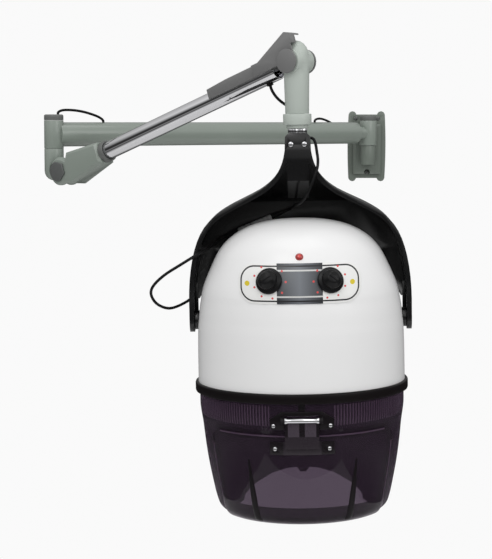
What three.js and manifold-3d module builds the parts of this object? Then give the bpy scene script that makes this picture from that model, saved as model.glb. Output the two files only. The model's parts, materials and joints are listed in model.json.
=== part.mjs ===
// A salon hood dryer on a two-section wall arm, in millimetres, with +Z up.
// The origin is the centre of the wall plate's back face. +Y runs into the wall and +X to the right.
import * as THREE from 'three';
import { mergeVertices } from 'three/addons/utils/BufferGeometryUtils.js';
import Module from 'manifold-3d';

const wasm = await Module();
wasm.setup();

// Clearances and roundness
const GAP = 0.3;
const RUN = 0.7;
const SMALL_SIDES = 10;
const SIDES = 20;
const HOOD_SIDES = 36;
const INNER_SIDES = 24;
const FAR = 900;

// Wall bracket
const PLATE_WIDTH = 77;
const PLATE_HEIGHT = 136;
const PLATE_THICK = 10;
const PLATE_BULGE = 4;
const EAR_RADIUS = 8;
const EAR_OVERHANG = 7;
const BODY_MARGIN = 9;
const BODY_TOP = 48;
const BODY_DEPTH = 27;
const BODY_CHAMFER = 5;
const HINGE_STANDOFF = 48;
const FIXED_BARREL_RADIUS = 15.5;
const FIXED_BARREL_HEIGHT = 41;
const FIXED_WEB_WIDTH = 22;
const HINGE_PIN_RADIUS = 9;
const HINGE_PIN_SEAT = 36;
const WALL_SCREW_SPREAD = 47;
const WALL_SCREW_TOP = 60;
const WALL_SCREW_LOW = -55;
const WALL_SCREW_HEAD = 4.6;
const WALL_SCREW_SHANK = 2.4;
const SCREW_HEAD_HEIGHT = 2.6;
const COUNTERBORE_RADIUS = 6.5;

// Primary arm
const ARM_HEIGHT = 29;
const PRIMARY_LENGTH = 765;
const PRIMARY_YAW = 36.5;
const TUBE_RADIUS = 22.5;
const TUBE_WALL = 2.5;
const TUBE_SETBACK_WALL = 36;
const TUBE_SETBACK_ELBOW = 6;
const TUBE_NECK_RADIUS = 13;
const SPIGOT_LENGTH = 40;
const BARREL_RADIUS = 18;
const BARREL_DROP = 26;
const BARREL_RISE = 26;
const BARREL_CROWN = 5;
const BARREL_CAP_HEIGHT = 11;
const BARREL_CAP_CHAMFER = 2;

// Elbow
const ELBOW_SHAFT_RADIUS = 9;
const ELBOW_SHAFT_SEAT = 19;
const PIVOT_DROP = 67;
const PIVOT_OFFSET = 31;
const TONGUE_RADIUS = 22;
const TONGUE_WIDTH = 22;
const PIVOT_PIN_RADIUS = 6;
const PIN_HEAD_RADIUS = 10;
const PIN_HEAD_HEIGHT = 3.6;

// Spring arm
const ARM_LENGTH = 567.5;
const ARM_YAW = -39.3;
const ARM_ELEVATION = 19.4;
const EYE_RADIUS = 26;
const SOCKET_WIDTH = 40;
const SOCKET_LENGTH = 106;
const SOCKET_TOP = 27;
const SOCKET_BOTTOM = 33;
const SOCKET_MOUTH_WALL = 3;
const SOCKET_SHOULDER = 26;
const SOCKET_CHAMFER = 5;
const SLOT_DEPTH = 33;
const PIVOT_CAP_RADIUS = 18.5;
const PIVOT_CAP_HEIGHT = 4;
const COLLAR_WIDTH = 11;
const COLLAR_WALL = 3.3;
const CHROME_RADIUS = 16;
const CHROME_WALL = 2;
const CHROME_SEAT = 60;
const CHROME_SETBACK = 40;
const SPRING_WIRE_RADIUS = 1.6;
const SPRING_TURNS = 9;
const SPRING_STEPS_PER_TURN = 8;
const SPRING_LENGTH = 330;
const SPRING_START = 66;

// Fork and cover at the head end of the spring arm
const SADDLE_LENGTH = 182;
const SADDLE_STEP = 138;
const SADDLE_SKIN = 3.4;
const SADDLE_LIP = 2.2;
const CHEEK_INSIDE = 22;
const CHEEK_THICK = 3;
const CHEEK_RADIUS = 15;
const CHEEK_ROOT = 74;
const TOWER_HEIGHT = 47;
const TOWER_FRONT = 20;
const TOWER_FOOT = 25;
const TOWER_CROWN = 12;
const TOWER_SLOPE_DROP = 6;
const TOWER_DEPTH = 23;
const TOWER_SIDE_DEPTH = 11;
const ROOF_THICK = 3;
const HEAD_PIN_RADIUS = 6;
const HEAD_CAP_RADIUS = 20;
const HEAD_CAP_HEIGHT = 3;

// Head knuckle and swivel. The upright leans to the left of plumb, and the hood is turned a little to the left.
const HEAD_LEAN = 1.1;
const HOOD_TURN = 1.9;
const KNUCKLE_RADIUS = 20.8;
const KNUCKLE_FOOT_RADIUS = 19.5;
const KNUCKLE_LENGTH = 85;
const KNUCKLE_CROWN = 34;
const KNUCKLE_CROWN_BASE = 8;
const KNUCKLE_BARREL_RADIUS = 20.5;
const SWIVEL_BORE_TOP = 32;
const COLLAR_RADIUS = 23.3;
const COLLAR_HEIGHT = 18;
const NECK_RING_RADIUS = 18;
const NECK_RING_HEIGHT = 6;
const SWIVEL_RADIUS = 12;
const SWIVEL_TOP_ROOM = 46;
const SWIVEL_BORE = 6;
const STUB_RADIUS = 15.8;
const STUB_HEIGHT = 7;
const STUB_FLUTES = 18;
const STUB_FLUTE_DEPTH = 1.6;
const STUB_SEAT = 42;

// Yoke, in a frame whose origin is the hood's tilt axis
const TILT_DROP = 422;
const YOKE_SHOULDER_X = 148;
const YOKE_SHOULDER_Z = 163;
const YOKE_NECK_X = 65;
const YOKE_NECK_Z = 212;
const STEM_HALF_WIDTH = 20.5;
const STEM_STRAIGHT = 28;
const STEM_HALF_DEPTH = 22;
const YOKE_FRONT = 25;
const YOKE_BACK = 90;
const YOKE_BACK_TOP = 190;
const YOKE_BACK_LOW = 110;
const YOKE_BACK_BLEND = 262;
const YOKE_WALL = 6;
const YOKE_RIM = 7.5;
const POCKET_TOP = 272;
const POCKET_LOW = 24;
const COLUMN_HALF_WIDTH = 17.5;
const COLUMN_LOW = 198;
const COLUMN_FACE_LOW = 228;
const STEM_FLARE = 1;
const STEM_HANDLE = [5, 36];
const NECK_HANDLE_IN = [22, 14];
const NECK_HANDLE_OUT = [28, 16];
const SHOULDER_HANDLE_IN = [18, 20];
const SHOULDER_HANDLE_OUT = [24, 24];
const STRAP_HANDLE = [1, 59];
const STRAP_TOP = 31;
const EYE_END = 20;
const HUB_STANDOFF = 6.7;
const HUB_ROOT = 5;
const HUB_PIN_END = 1;
const STRAP_THICK = 7.7;
const TILT_CLEARANCE = 4;
const TILT_PIN_RADIUS = 6;
const TILT_HUB_RADIUS = 16;
const YOKE_SCREW_SPREAD = 22;
const YOKE_SCREW_DROP = 18;
const YOKE_SCREW_HEAD = 4.6;
const YOKE_SCREW_TIP_ROOM = 3;
const YOKE_SCREW_SHANK = 2.2;

// Hood, in the same frame. Each outline runs from the top down as radius and height.
const SHELL_OUTLINE = [
  [0, 166], [40, 164], [80, 155], [112, 138], [133, 117], [149, 86],
  [160, 56], [167, 22], [170, -20], [171, -104],
];
const SHELL_WALL = 3;
const BAND_RADIUS = 176;
const BAND_TOP = -100;
const BAND_BOTTOM = -116;
const SHELF_INNER = 156;
const SHELF_THICK = 4;
const BOWL_OUTLINE = [[0, 72], [60, 66], [104, 46], [132, 10], [147, -40], [152, -104]];
const BOWL_WALL = 2;
const BOWL_FLANGE = 163;
const VISOR_OUTLINE = [
  [168.5, -109], [168.5, -140], [164.5, -168], [161, -200], [156.5, -232], [149.5, -269],
  [143.5, -295], [138.5, -307], [129, -313.5], [108, -314],
];
const VISOR_WALL = 2.5;
const WINDOW_HALF_ANGLE = 57;
const WINDOW_TOP = -174;
const NECK_OUTLINE = [
  [106, -320], [100, -313], [83, -301], [56, -288.5], [29, -282], [11, -280.5], [5, -288.5],
];
const FLAP_HALF_ANGLE = 61;
const FLAP_TOP = -166;
const FLAP_LIFT = 0.6;
const FLAP_WALL = 2.5;

// Visor hinge
const HINGE_Z = -141;
const HINGE_OFFSET = 8;
const HINGE_BARREL_RADIUS = 3.9;
const HINGE_BARREL_HALF = 27;
const HINGE_JOURNAL_RADIUS = 2.4;
const HINGE_LUG_WIDTH = 5.5;
const HINGE_LUG_RADIUS = 5;
const HINGE_PLATE_HALF = 51;
const HINGE_PLATE_TOP = -128;
const HINGE_PLATE_LOW = -157;
const HINGE_BRIDGE = 6;
const HINGE_PLATE_THICK = 3.5;
const LEAF_TOP = -176;
const LEAF_LOW = -197;
const LEAF_TONGUE_THICK = 7;
const TRIM_SCREW_HEAD = 3.4;
const TRIM_SCREW_BITE = 2;
const TRIM_SCREW_SHANK = 1.6;
const TRIM_SCREW_HEAD_HEIGHT = 2;
const HINGE_SCREW_AZIMUTH = 15;
const HINGE_SCREW_Z = -150;
const LEAF_SCREW_AZIMUTH = 14.5;
const LEAF_SCREW_Z = -186.5;

// Controls
const PANEL_HALF_WIDTH = 97;
const PANEL_TOP = 103;
const PANEL_LOW = 41;
const PANEL_CORNER = 26;
const PANEL_THICK = 1.5;
const KNOB_AZIMUTH = 18;
const KNOB_Z = 75;
const KNOB_RADIUS = 21;
const KNOB_SKIRT = 4;
const KNOB_HEIGHT = 20;
const KNOB_GRIP_WIDTH = 11;
const KNOB_STANDOFF = 2.4;
const KNOB_SHAFT_RADIUS = 3;
const KNOB_SHAFT_LENGTH = 14;
const PILOT_Z = 112;
const PILOT_RADIUS = 5.8;
const PILOT_STEM_RADIUS = 4;
const PILOT_DOME = 4;

// Blower and heater inside the hood
const MOTOR_RADIUS = 32;
const MOTOR_HEIGHT = 40;
const MOTOR_BOSS_RADIUS = 12;
const MOTOR_BOSS_HEIGHT = 5;
const FAN_RADIUS = 62;
const FAN_HEIGHT = 26;
const FAN_HUB_RADIUS = 12;
const FAN_BLADES = 12;
const FAN_BLADE_THICK = 2;
const FAN_BLADE_INNER = 40;
const FAN_BACK_THICK = 2.5;
const FAN_SHAFT_RADIUS = 4;
const FAN_SHAFT_SEAT = 20;
const FAN_MOTOR_GAP = 5;
const HEATER_RADIUS = 132;
const HEATER_TUBE = 4;
const HEATER_Z = 34;
const HEATER_LEGS = 4;
const HEATER_LEG_RADIUS = 3;

// Cords, their glands and the connector
const CORD_RADIUS = 2.4;
const CORD_SIDES = 8;
const CORD_STEP = 16;
const CORD_PLAY = 0.5;
const CORD_EXIT_PLAY = 2.2;
const GLAND_FLANGE_RADIUS = 8;
const GLAND_FLANGE_HEIGHT = 3;
const GLAND_NOSE_RADIUS = 6;
const GLAND_NOSE_LENGTH = 12;
const HOOD_GLAND_AZIMUTH = -135;
const HOOD_GLAND_Z = 66;
const SUPPLY_GLAND_Y = -18.5;
const SUPPLY_GLAND_Z = 33;
const SUPPLY_HOLE = 145;
const ELBOW_HOLE = 107;
const ELBOW_CAP_HOLE = 9.5;
const HEAD_CORD_SETBACK = 64;
const GROMMET_RADIUS = 6;
const GROMMET_LIP = 2;
const KNUCKLE_CORD_DROP = 72;
const CONNECTOR_RADIUS = 5.2;
const CONNECTOR_RELIEF_RADIUS = 4.6;
const CONNECTOR_RELIEF_LENGTH = 20;
const SOCKET_BODY_LENGTH = 37;
const PLUG_BODY_LENGTH = 23;
const CONNECTOR_START = [-28, 72, 172];
const CONNECTOR_END = [-121.4, 72, 133.7];

// Cord routes, chosen by hand. The elbow's is in the primary arm's frame, measured back from the elbow
// and up from the tube. The supply's is in the wall's frame, the head's in the head's and the others in
// the hood's.
const ELBOW_CORD_ROUTE = [
  [9.5, 35], [9.5, 40.5], [17, 44.3], [35, 45.2], [58, 43], [82, 37.5], [100, 31], [107, 25.5], [107, 20.5],
];
const SUPPLY_CORD_ROUTE = [
  [-116.6, -134.2, 49], [-116.6, -134.2, 55], [-106, -118.5, 59], [-84, -88, 52], [-68, -60, 40],
  [-60, -34, 34], [-52, -20, 33], [-46.5, -18.5, 33], [-40.6, -18.5, 33],
];
const HEAD_CORD_ROUTE = [
  [-54.3, 0, -38.4], [-51.6, 0.4, -45.5], [-44, 4, -58], [-33, 14, -70], [-20, 26, -77], [-6, 32, -75],
  [0, 27.5, -72], [0, 19, -72],
];
const YOKE_CORD_ROUTE = [
  [19.5, 0, 297], [22.5, 0, 297], [26, -1.6, 295], [29, -7, 288], [31, -17, 275], [32.5, -27, 262],
  [31.5, -33, 250], [27, -37, 236], [17, -37, 212], [8, -28, 197], [-1, -8, 189], [-5, 30, 187],
  [-8, 57, 182.5], [-13, 69, 178.6], [-20, 72, 175.3],
];
const HOOD_CORD_ROUTE = [
  [-129.4, 72, 130.4], [-137, 66, 126.6], [-144, 44, 122], [-151, 8, 118], [-167, -34, 111], [-193, -44, 96],
  [-222, -44, 78], [-240.5, -36, 60],
  [-245, -26, 47], [-238, -8, 29], [-219, 14, 18], [-196, 38, 23.5], [-177, 64, 35], [-157, 98, 52],
  [-143, 120, 66],
];

// Geometry helpers

function solidOf(geometry) {
  const bare = geometry.index ? geometry.toNonIndexed() : geometry.clone();
  bare.deleteAttribute('normal');
  bare.deleteAttribute('uv');
  const merged = mergeVertices(bare, 1e-3);
  const at = merged.getAttribute('position');
  const order = merged.index.array;
  const corner = (i) => new THREE.Vector3().fromBufferAttribute(at, i);
  const triangles = [];
  let volume = 0;
  for (let i = 0; i < order.length; i += 3) {
    const [a, b, c] = [order[i], order[i + 1], order[i + 2]];
    if (a !== b && b !== c && c !== a) {
      triangles.push([a, b, c]);
      volume += corner(a).dot(corner(b).cross(corner(c)));
    }
  }
  const outward = volume > 0 ? triangles : triangles.map(([a, b, c]) => [a, c, b]);
  const mesh = new wasm.Mesh({
    numProp: 3,
    vertProperties: new Float32Array(at.array),
    triVerts: new Uint32Array(outward.flat()),
  });
  mesh.merge();
  return new wasm.Manifold(mesh);
}

function geometryOf(solid) {
  const { vertProperties, triVerts, numProp } = solid.getMesh();
  const places = new Float32Array((vertProperties.length / numProp) * 3);
  for (let i = 0; i < places.length / 3; i += 1) {
    for (let k = 0; k < 3; k += 1) places[3 * i + k] = vertProperties[numProp * i + k];
  }
  const geometry = new THREE.BufferGeometry();
  geometry.setAttribute('position', new THREE.BufferAttribute(places, 3));
  geometry.setIndex(new THREE.BufferAttribute(new Uint32Array(triVerts), 1));
  geometry.computeVertexNormals();
  return geometry;
}

// A geometry built along +Z is turned to run along +X or +Y.
function turnTo(axis, geometry) {
  if (axis === 'x') geometry.rotateY(Math.PI / 2);
  if (axis === 'y') geometry.rotateX(-Math.PI / 2);
  return geometry;
}

function rod(axis, radius, from, to, at = [0, 0, 0], sides = SIDES) {
  const geometry = new THREE.CylinderGeometry(radius, radius, to - from, sides);
  geometry.rotateX(Math.PI / 2).translate(0, 0, (from + to) / 2);
  return solidOf(turnTo(axis, geometry).translate(...at));
}

function block([x0, x1], [y0, y1], [z0, z1]) {
  const geometry = new THREE.BoxGeometry(x1 - x0, y1 - y0, z1 - z0);
  return solidOf(geometry.translate((x0 + x1) / 2, (y0 + y1) / 2, (z0 + z1) / 2));
}

function turnedGeometry(points, sides) {
  const profile = points.map(([r, z]) => new THREE.Vector2(r, z));
  const onAxis = points[0][0] === 0 && points[points.length - 1][0] === 0;
  if (!onAxis) profile.push(profile[0].clone());
  return new THREE.LatheGeometry(profile, sides).rotateX(Math.PI / 2);
}

const turned = (points, sides = SIDES) => solidOf(turnedGeometry(points, sides));

// An outline drawn in X and Z is extruded along Y, with an optional chamfer on its edges.
function slab(shape, [y0, y1], chamfer = 0, curveSegments = 10) {
  const geometry = new THREE.ExtrudeGeometry(shape, {
    depth: y1 - y0 - 2 * chamfer,
    bevelEnabled: chamfer > 0,
    bevelThickness: chamfer,
    bevelSize: chamfer,
    bevelOffset: -chamfer,
    bevelSegments: 1,
    curveSegments,
  });
  return solidOf(geometry.rotateX(Math.PI / 2).translate(0, y1 - chamfer, 0));
}

const polygon = (points) => new THREE.Shape(points.map(([x, y]) => new THREE.Vector2(x, y)));

// An outline drawn in Y and Z is extruded along X.
function crossSlab(shape, [x0, x1]) {
  const geometry = new THREE.ExtrudeGeometry(shape, { depth: x1 - x0, bevelEnabled: false, curveSegments: 10 });
  return solidOf(geometry.rotateX(Math.PI / 2).rotateZ(Math.PI / 2).translate(x0, 0, 0));
}

// A tube follows a hand-chosen route.
function cord(points) {
  const route = new THREE.CatmullRomCurve3(points.map((p) => new THREE.Vector3(...p)), false, 'centripetal');
  const section = polygon(Array.from({ length: CORD_SIDES }, (_, i) => {
    const turn = (2 * Math.PI * i) / CORD_SIDES;
    return [CORD_RADIUS * Math.cos(turn), CORD_RADIUS * Math.sin(turn)];
  }));
  const steps = Math.ceil(route.getLength() / CORD_STEP);
  return solidOf(new THREE.ExtrudeGeometry(section, { steps, extrudePath: route }));
}

// A skin lies between two distances outside a turned outline.
function outwardNormal(outline, i) {
  if (outline[i][0] === 0) return [0, 1];
  const before = outline[Math.max(i - 1, 0)];
  const after = outline[Math.min(i + 1, outline.length - 1)];
  const [dr, dz] = [after[0] - before[0], after[1] - before[1]];
  const length = Math.hypot(dr, dz);
  return [-dz / length, dr / length];
}

function offsetOutline(outline, distance) {
  return outline.map(([r, z], i) => {
    const [nr, nz] = outwardNormal(outline, i);
    return [r + nr * distance, z + nz * distance];
  });
}

function skin(outline, near, far, sides = HOOD_SIDES) {
  return turned([...offsetOutline(outline, far), ...offsetOutline(outline, near).reverse()], sides);
}

function radiusAt(outline, z) {
  const below = outline.findIndex(([, height], i) => i > 0 && height <= z);
  const [[r0, z0], [r1, z1]] = [outline[below - 1], outline[below]];
  return { radius: r0 + ((r1 - r0) * (z - z0)) / (z1 - z0), slope: Math.atan2(r1 - r0, z0 - z1) };
}

// A place on a turned outline, with its own +Z pointing out of the surface. Azimuth 0 is the front.
function placeOn(outline, azimuth, z, lift = 0) {
  const { radius, slope } = radiusAt(outline, z);
  const turn = THREE.MathUtils.degToRad(azimuth);
  const side = new THREE.Vector3(Math.sin(turn), -Math.cos(turn), 0);
  const out = side.clone().multiplyScalar(Math.cos(slope)).setZ(Math.sin(slope));
  const across = new THREE.Vector3(Math.cos(turn), Math.sin(turn), 0);
  const up = out.clone().cross(across);
  const place = new THREE.Matrix4().makeBasis(across, up, out);
  return place.setPosition(side.multiplyScalar(radius).setZ(z).addScaledVector(out, lift));
}

function drilled(solid, places, radius, depth, sides = SMALL_SIDES) {
  return places.reduce((left, place) => {
    const drill = new THREE.CylinderGeometry(radius, radius, 2 * depth, sides).rotateX(Math.PI / 2);
    return left.subtract(solidOf(drill.applyMatrix4(place)));
  }, solid);
}

function sector(halfAngle, [z0, z1]) {
  const turn = THREE.MathUtils.degToRad(halfAngle);
  const [x, y] = [FAR * Math.sin(turn), -FAR * Math.cos(turn)];
  const wedge = polygon([[0, 0], [-x, y], [-x, -2 * FAR], [x, -2 * FAR], [x, y]]);
  const geometry = new THREE.ExtrudeGeometry(wedge, { depth: z1 - z0, bevelEnabled: false });
  return solidOf(geometry.translate(0, 0, z0));
}

// Materials
const finish = (color, roughness, metalness = 0, opacity = 1) =>
  new THREE.MeshStandardMaterial({ color, roughness, metalness, opacity, transparent: opacity < 1 });
const armPaint = () => finish(0x8c948c, 0.35);
const greyPlastic = () => finish(0x6a6a6a, 0.5);
const chrome = () => finish(0xd8d8d8, 0.1, 1);
const steel = () => finish(0xb0b0b0, 0.35, 1);
const blackPlastic = () => finish(0x151515, 0.3);
const cordRubber = () => finish(0x1a1a1a, 0.6);
const whiteGloss = () => finish(0xf0f0f0, 0.15);
const smoked = () => finish(0x3a323c, 0.08, 0, 0.6);

function mesh(name, material, solid) {
  const piece = new THREE.Mesh(geometryOf(solid), material);
  piece.name = name;
  return piece;
}

function screw(name, headRadius, shankRadius, headHeight, shankLength) {
  const head = turned([
    [0, headHeight], [headRadius * 0.7, headHeight * 0.8], [headRadius, 0], [shankRadius, 0],
    [shankRadius, -shankLength], [0, -shankLength],
  ], SMALL_SIDES);
  return mesh(name, steel(), head);
}

function gland(name) {
  return mesh(name, blackPlastic(), turned([
    [GLAND_FLANGE_RADIUS, 0], [GLAND_FLANGE_RADIUS, GLAND_FLANGE_HEIGHT],
    [GLAND_NOSE_RADIUS, GLAND_FLANGE_HEIGHT], [CORD_RADIUS + 2, GLAND_NOSE_LENGTH],
    [CORD_RADIUS + CORD_PLAY, GLAND_NOSE_LENGTH], [CORD_RADIUS + CORD_PLAY, 0],
  ], SMALL_SIDES));
}

// Frames of the chain, each nested in the one before
const degrees = THREE.MathUtils.degToRad;
const dryer = new THREE.Group();
const primary = new THREE.Group();
primary.position.set(0, -HINGE_STANDOFF, ARM_HEIGHT);
primary.rotation.z = degrees(180 + PRIMARY_YAW);
const elbow = new THREE.Group();
elbow.position.set(PRIMARY_LENGTH, 0, 0);
elbow.rotation.z = degrees(ARM_YAW - 180 - PRIMARY_YAW);
const springArm = new THREE.Group();
springArm.position.set(PIVOT_OFFSET, 0, -PIVOT_DROP);
springArm.rotation.y = -degrees(ARM_ELEVATION);
const head = new THREE.Group();
head.position.set(ARM_LENGTH, 0, 0);
head.rotation.y = degrees(ARM_ELEVATION);
const hanger = new THREE.Group();
hanger.rotation.set(0, -degrees(HEAD_LEAN), -degrees(ARM_YAW), 'ZYX');
hanger.updateMatrix();
const hood = new THREE.Group();
hood.position.set(0, 0, -TILT_DROP);
hood.rotation.z = -degrees(HOOD_TURN);
dryer.add(primary);
primary.add(elbow);
elbow.add(springArm);
springArm.add(head);
head.add(hanger);
hanger.add(hood);

// Wall bracket: a cast plate with a raised body, a fixed hinge barrel and three fixing screws
const hingeFoot = ARM_HEIGHT - BARREL_DROP - GAP;
const wallScrewPlaces = [
  ['wall_screw_left', -WALL_SCREW_SPREAD / 2, WALL_SCREW_TOP],
  ['wall_screw_right', WALL_SCREW_SPREAD / 2, WALL_SCREW_TOP],
  ['wall_screw_low', 0, WALL_SCREW_LOW],
];
const supplyGlandX = -(PLATE_WIDTH / 2 - BODY_MARGIN);

function wallPlate() {
  const [w, h] = [PLATE_WIDTH / 2, PLATE_HEIGHT / 2];
  const outline = polygon([[-w, -h], [w, -h]]);
  outline.quadraticCurveTo(w + PLATE_BULGE, 0, w, h);
  outline.lineTo(-w, h);
  outline.quadraticCurveTo(-w - PLATE_BULGE, 0, -w, -h);
  const bodyWidth = w - BODY_MARGIN;
  const bodyLow = BODY_MARGIN - h;
  const body = polygon([
    [-bodyWidth, bodyLow], [bodyWidth, bodyLow], [bodyWidth, BODY_TOP], [-bodyWidth, BODY_TOP],
  ]);
  let plate = slab(outline, [-PLATE_THICK, 0]).add(slab(body, [-BODY_DEPTH, -PLATE_THICK / 2], BODY_CHAMFER));
  for (const x of [-1, 1]) {
    for (const z of [-1, 1]) {
      const ear = [x * (w - EAR_RADIUS), 0, z * (h - EAR_RADIUS + EAR_OVERHANG)];
      plate = plate.add(rod('y', EAR_RADIUS, -PLATE_THICK, 0, ear, SMALL_SIDES));
    }
  }
  const axis = [0, -HINGE_STANDOFF, 0];
  const barrelFoot = hingeFoot - FIXED_BARREL_HEIGHT;
  const web = [-FIXED_WEB_WIDTH / 2, FIXED_WEB_WIDTH / 2];
  plate = plate.add(block(web, [-HINGE_STANDOFF, -PLATE_THICK], [barrelFoot, hingeFoot]));
  plate = plate.add(rod('z', FIXED_BARREL_RADIUS, barrelFoot, hingeFoot, axis));
  plate = plate.subtract(rod('z', HINGE_PIN_RADIUS + GAP, hingeFoot - HINGE_PIN_SEAT - GAP, FAR, axis));
  for (const [, x, z] of wallScrewPlaces) {
    plate = plate.subtract(rod('y', WALL_SCREW_SHANK + GAP, -FAR, FAR, [x, 0, z], SMALL_SIDES));
  }
  const low = [0, 0, WALL_SCREW_LOW];
  return plate.subtract(rod('y', COUNTERBORE_RADIUS, -FAR, -PLATE_THICK, low, SMALL_SIDES));
}

const hingePinTop = ARM_HEIGHT + BARREL_RISE - BARREL_CROWN - GAP;
const hingePinAxis = [0, -HINGE_STANDOFF, 0];
dryer.add(mesh('wall_plate', armPaint(), wallPlate()));
dryer.add(mesh('hinge_pin', steel(),
  rod('z', HINGE_PIN_RADIUS, hingeFoot - HINGE_PIN_SEAT, hingePinTop, hingePinAxis)));
for (const [name, x, z] of wallScrewPlaces) {
  const piece = screw(name, WALL_SCREW_HEAD, WALL_SCREW_SHANK, SCREW_HEAD_HEIGHT, PLATE_THICK - 1);
  piece.position.set(x, -PLATE_THICK - GAP, z);
  piece.rotation.x = Math.PI / 2;
  dryer.add(piece);
}
const supplyGland = gland('supply_gland');
supplyGland.position.set(supplyGlandX - GAP, SUPPLY_GLAND_Y, SUPPLY_GLAND_Z);
supplyGland.rotation.y = -Math.PI / 2;
dryer.add(supplyGland);

// Primary arm: a painted tube between a hinge barrel at the wall and a sleeve at the elbow
const tubeBore = TUBE_RADIUS - TUBE_WALL;
const cordHole = CORD_RADIUS + CORD_PLAY;

function primaryTube() {
  let tube = rod('x', TUBE_RADIUS, TUBE_SETBACK_WALL, PRIMARY_LENGTH - TUBE_SETBACK_ELBOW);
  tube = tube.subtract(rod('x', tubeBore, -FAR, 2 * FAR));
  for (const x of [0, PRIMARY_LENGTH]) {
    tube = tube.subtract(rod('z', BARREL_RADIUS + GAP, -FAR, FAR, [x, 0, 0]));
  }
  for (const x of [SUPPLY_HOLE, PRIMARY_LENGTH - ELBOW_HOLE]) {
    tube = tube.subtract(rod('z', CORD_RADIUS + CORD_EXIT_PLAY, 0, FAR, [x, 0, 0], SMALL_SIDES));
  }
  return tube;
}

// A barrel across the tube's end, with a neck and a spigot that fills the tube
function barrel(axisX, tubeEnd, spigotEnd) {
  const upright = rod('z', BARREL_RADIUS, -BARREL_DROP, BARREL_RISE, [axisX, 0, 0]);
  const neckEnd = (tubeEnd + spigotEnd) / 2;
  const neck = rod('x', TUBE_NECK_RADIUS, Math.min(axisX, neckEnd), Math.max(axisX, neckEnd));
  const spigot = rod('x', tubeBore - GAP, Math.min(tubeEnd, spigotEnd), Math.max(tubeEnd, spigotEnd));
  return upright.add(neck).add(spigot);
}

const elbowAt = [PRIMARY_LENGTH, 0, 0];
const elbowBore = rod('z', ELBOW_SHAFT_RADIUS + GAP, -FAR, FAR, elbowAt);
const wallBore = rod('z', HINGE_PIN_RADIUS + GAP, -FAR, BARREL_RISE - BARREL_CROWN);
primary.add(mesh('primary_tube', armPaint(), primaryTube()));
const wallSpigotEnd = TUBE_SETBACK_WALL + SPIGOT_LENGTH;
const elbowTubeEnd = PRIMARY_LENGTH - TUBE_SETBACK_ELBOW;
primary.add(mesh('wall_barrel', armPaint(), barrel(0, TUBE_SETBACK_WALL, wallSpigotEnd).subtract(wallBore)));
primary.add(mesh('elbow_sleeve', armPaint(),
  barrel(PRIMARY_LENGTH, elbowTubeEnd, elbowTubeEnd - SPIGOT_LENGTH).subtract(elbowBore)));

function barrelCap() {
  const [low, high] = [BARREL_RISE + GAP, BARREL_RISE + BARREL_CAP_HEIGHT];
  const [wide, edge] = [BARREL_RADIUS, BARREL_RADIUS - BARREL_CAP_CHAMFER];
  return turned([[0, low], [wide, low], [wide, high - BARREL_CAP_CHAMFER], [edge, high], [0, high]]);
}

const elbowCapHole = rod('z', CORD_RADIUS + CORD_EXIT_PLAY, 0, FAR, [-ELBOW_CAP_HOLE, 0, 0], SMALL_SIDES);
const elbowCap = mesh('elbow_cap', greyPlastic(), barrelCap().subtract(elbowCapHole));
elbowCap.position.set(PRIMARY_LENGTH, 0, 0);
primary.add(elbowCap);
primary.add(mesh('wall_cap', greyPlastic(), barrelCap()));
const elbowCordRoute = ELBOW_CORD_ROUTE.map(([x, z]) => [PRIMARY_LENGTH - x, 0, z]);
primary.add(mesh('elbow_cord', cordRubber(), cord(elbowCordRoute)));
dryer.add(mesh('supply_cord', cordRubber(), cord(SUPPLY_CORD_ROUTE)));

// Elbow: a knuckle that swivels on a vertical shaft and carries the spring arm on a cross pin
const pivot = [PIVOT_OFFSET, 0, -PIVOT_DROP];
const tongueHalf = TONGUE_WIDTH / 2;
const knuckleTop = -BARREL_DROP - GAP;

function elbowKnuckle() {
  let post = rod('z', BARREL_RADIUS, -PIVOT_DROP, knuckleTop);
  const foot = new THREE.SphereGeometry(BARREL_RADIUS, SIDES, SMALL_SIDES).rotateX(Math.PI / 2);
  post = post.add(solidOf(foot.translate(0, 0, -PIVOT_DROP)));
  post = post.add(rod('y', TONGUE_RADIUS, -tongueHalf, tongueHalf, pivot));
  post = post.subtract(rod('y', EYE_RADIUS + RUN, tongueHalf, FAR, pivot));
  post = post.subtract(rod('y', EYE_RADIUS + RUN, -FAR, -tongueHalf, pivot));
  post = post.subtract(rod('y', PIVOT_PIN_RADIUS + GAP, -FAR, FAR, pivot));
  return post.subtract(rod('z', ELBOW_SHAFT_RADIUS + GAP, knuckleTop - ELBOW_SHAFT_SEAT - GAP, FAR));
}

elbow.add(mesh('elbow_knuckle', armPaint(), elbowKnuckle()));
elbow.add(mesh('elbow_shaft', steel(),
  rod('z', ELBOW_SHAFT_RADIUS, knuckleTop - ELBOW_SHAFT_SEAT, BARREL_RISE)));

// Spring arm: a forked socket, a chrome tube with its balance spring, and a fork with a cover at the head
const socketHalf = SOCKET_WIDTH / 2;
const slotHalf = tongueHalf + GAP;
const mouthHalf = CHROME_RADIUS + SOCKET_MOUTH_WALL;

function armSocket() {
  const outline = polygon([
    [SOCKET_SHOULDER, -SOCKET_BOTTOM], [SOCKET_LENGTH, -mouthHalf], [SOCKET_LENGTH, mouthHalf],
    [SOCKET_SHOULDER, SOCKET_TOP],
  ]);
  const start = degrees(40);
  outline.absarc(0, 0, EYE_RADIUS, start, degrees(280), false);
  let socket = slab(outline, [-socketHalf, socketHalf], SOCKET_CHAMFER, 14);
  socket = socket.subtract(block([-FAR, SLOT_DEPTH], [-slotHalf, slotHalf], [-FAR, FAR]));
  socket = socket.subtract(rod('x', CHROME_RADIUS + GAP, CHROME_SEAT - GAP, FAR));
  return socket.subtract(rod('y', PIVOT_PIN_RADIUS + GAP, -FAR, FAR));
}

function ring(axis, outer, inner, from, to) {
  return rod(axis, outer, from, to).subtract(rod(axis, inner, -FAR, FAR));
}

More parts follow.
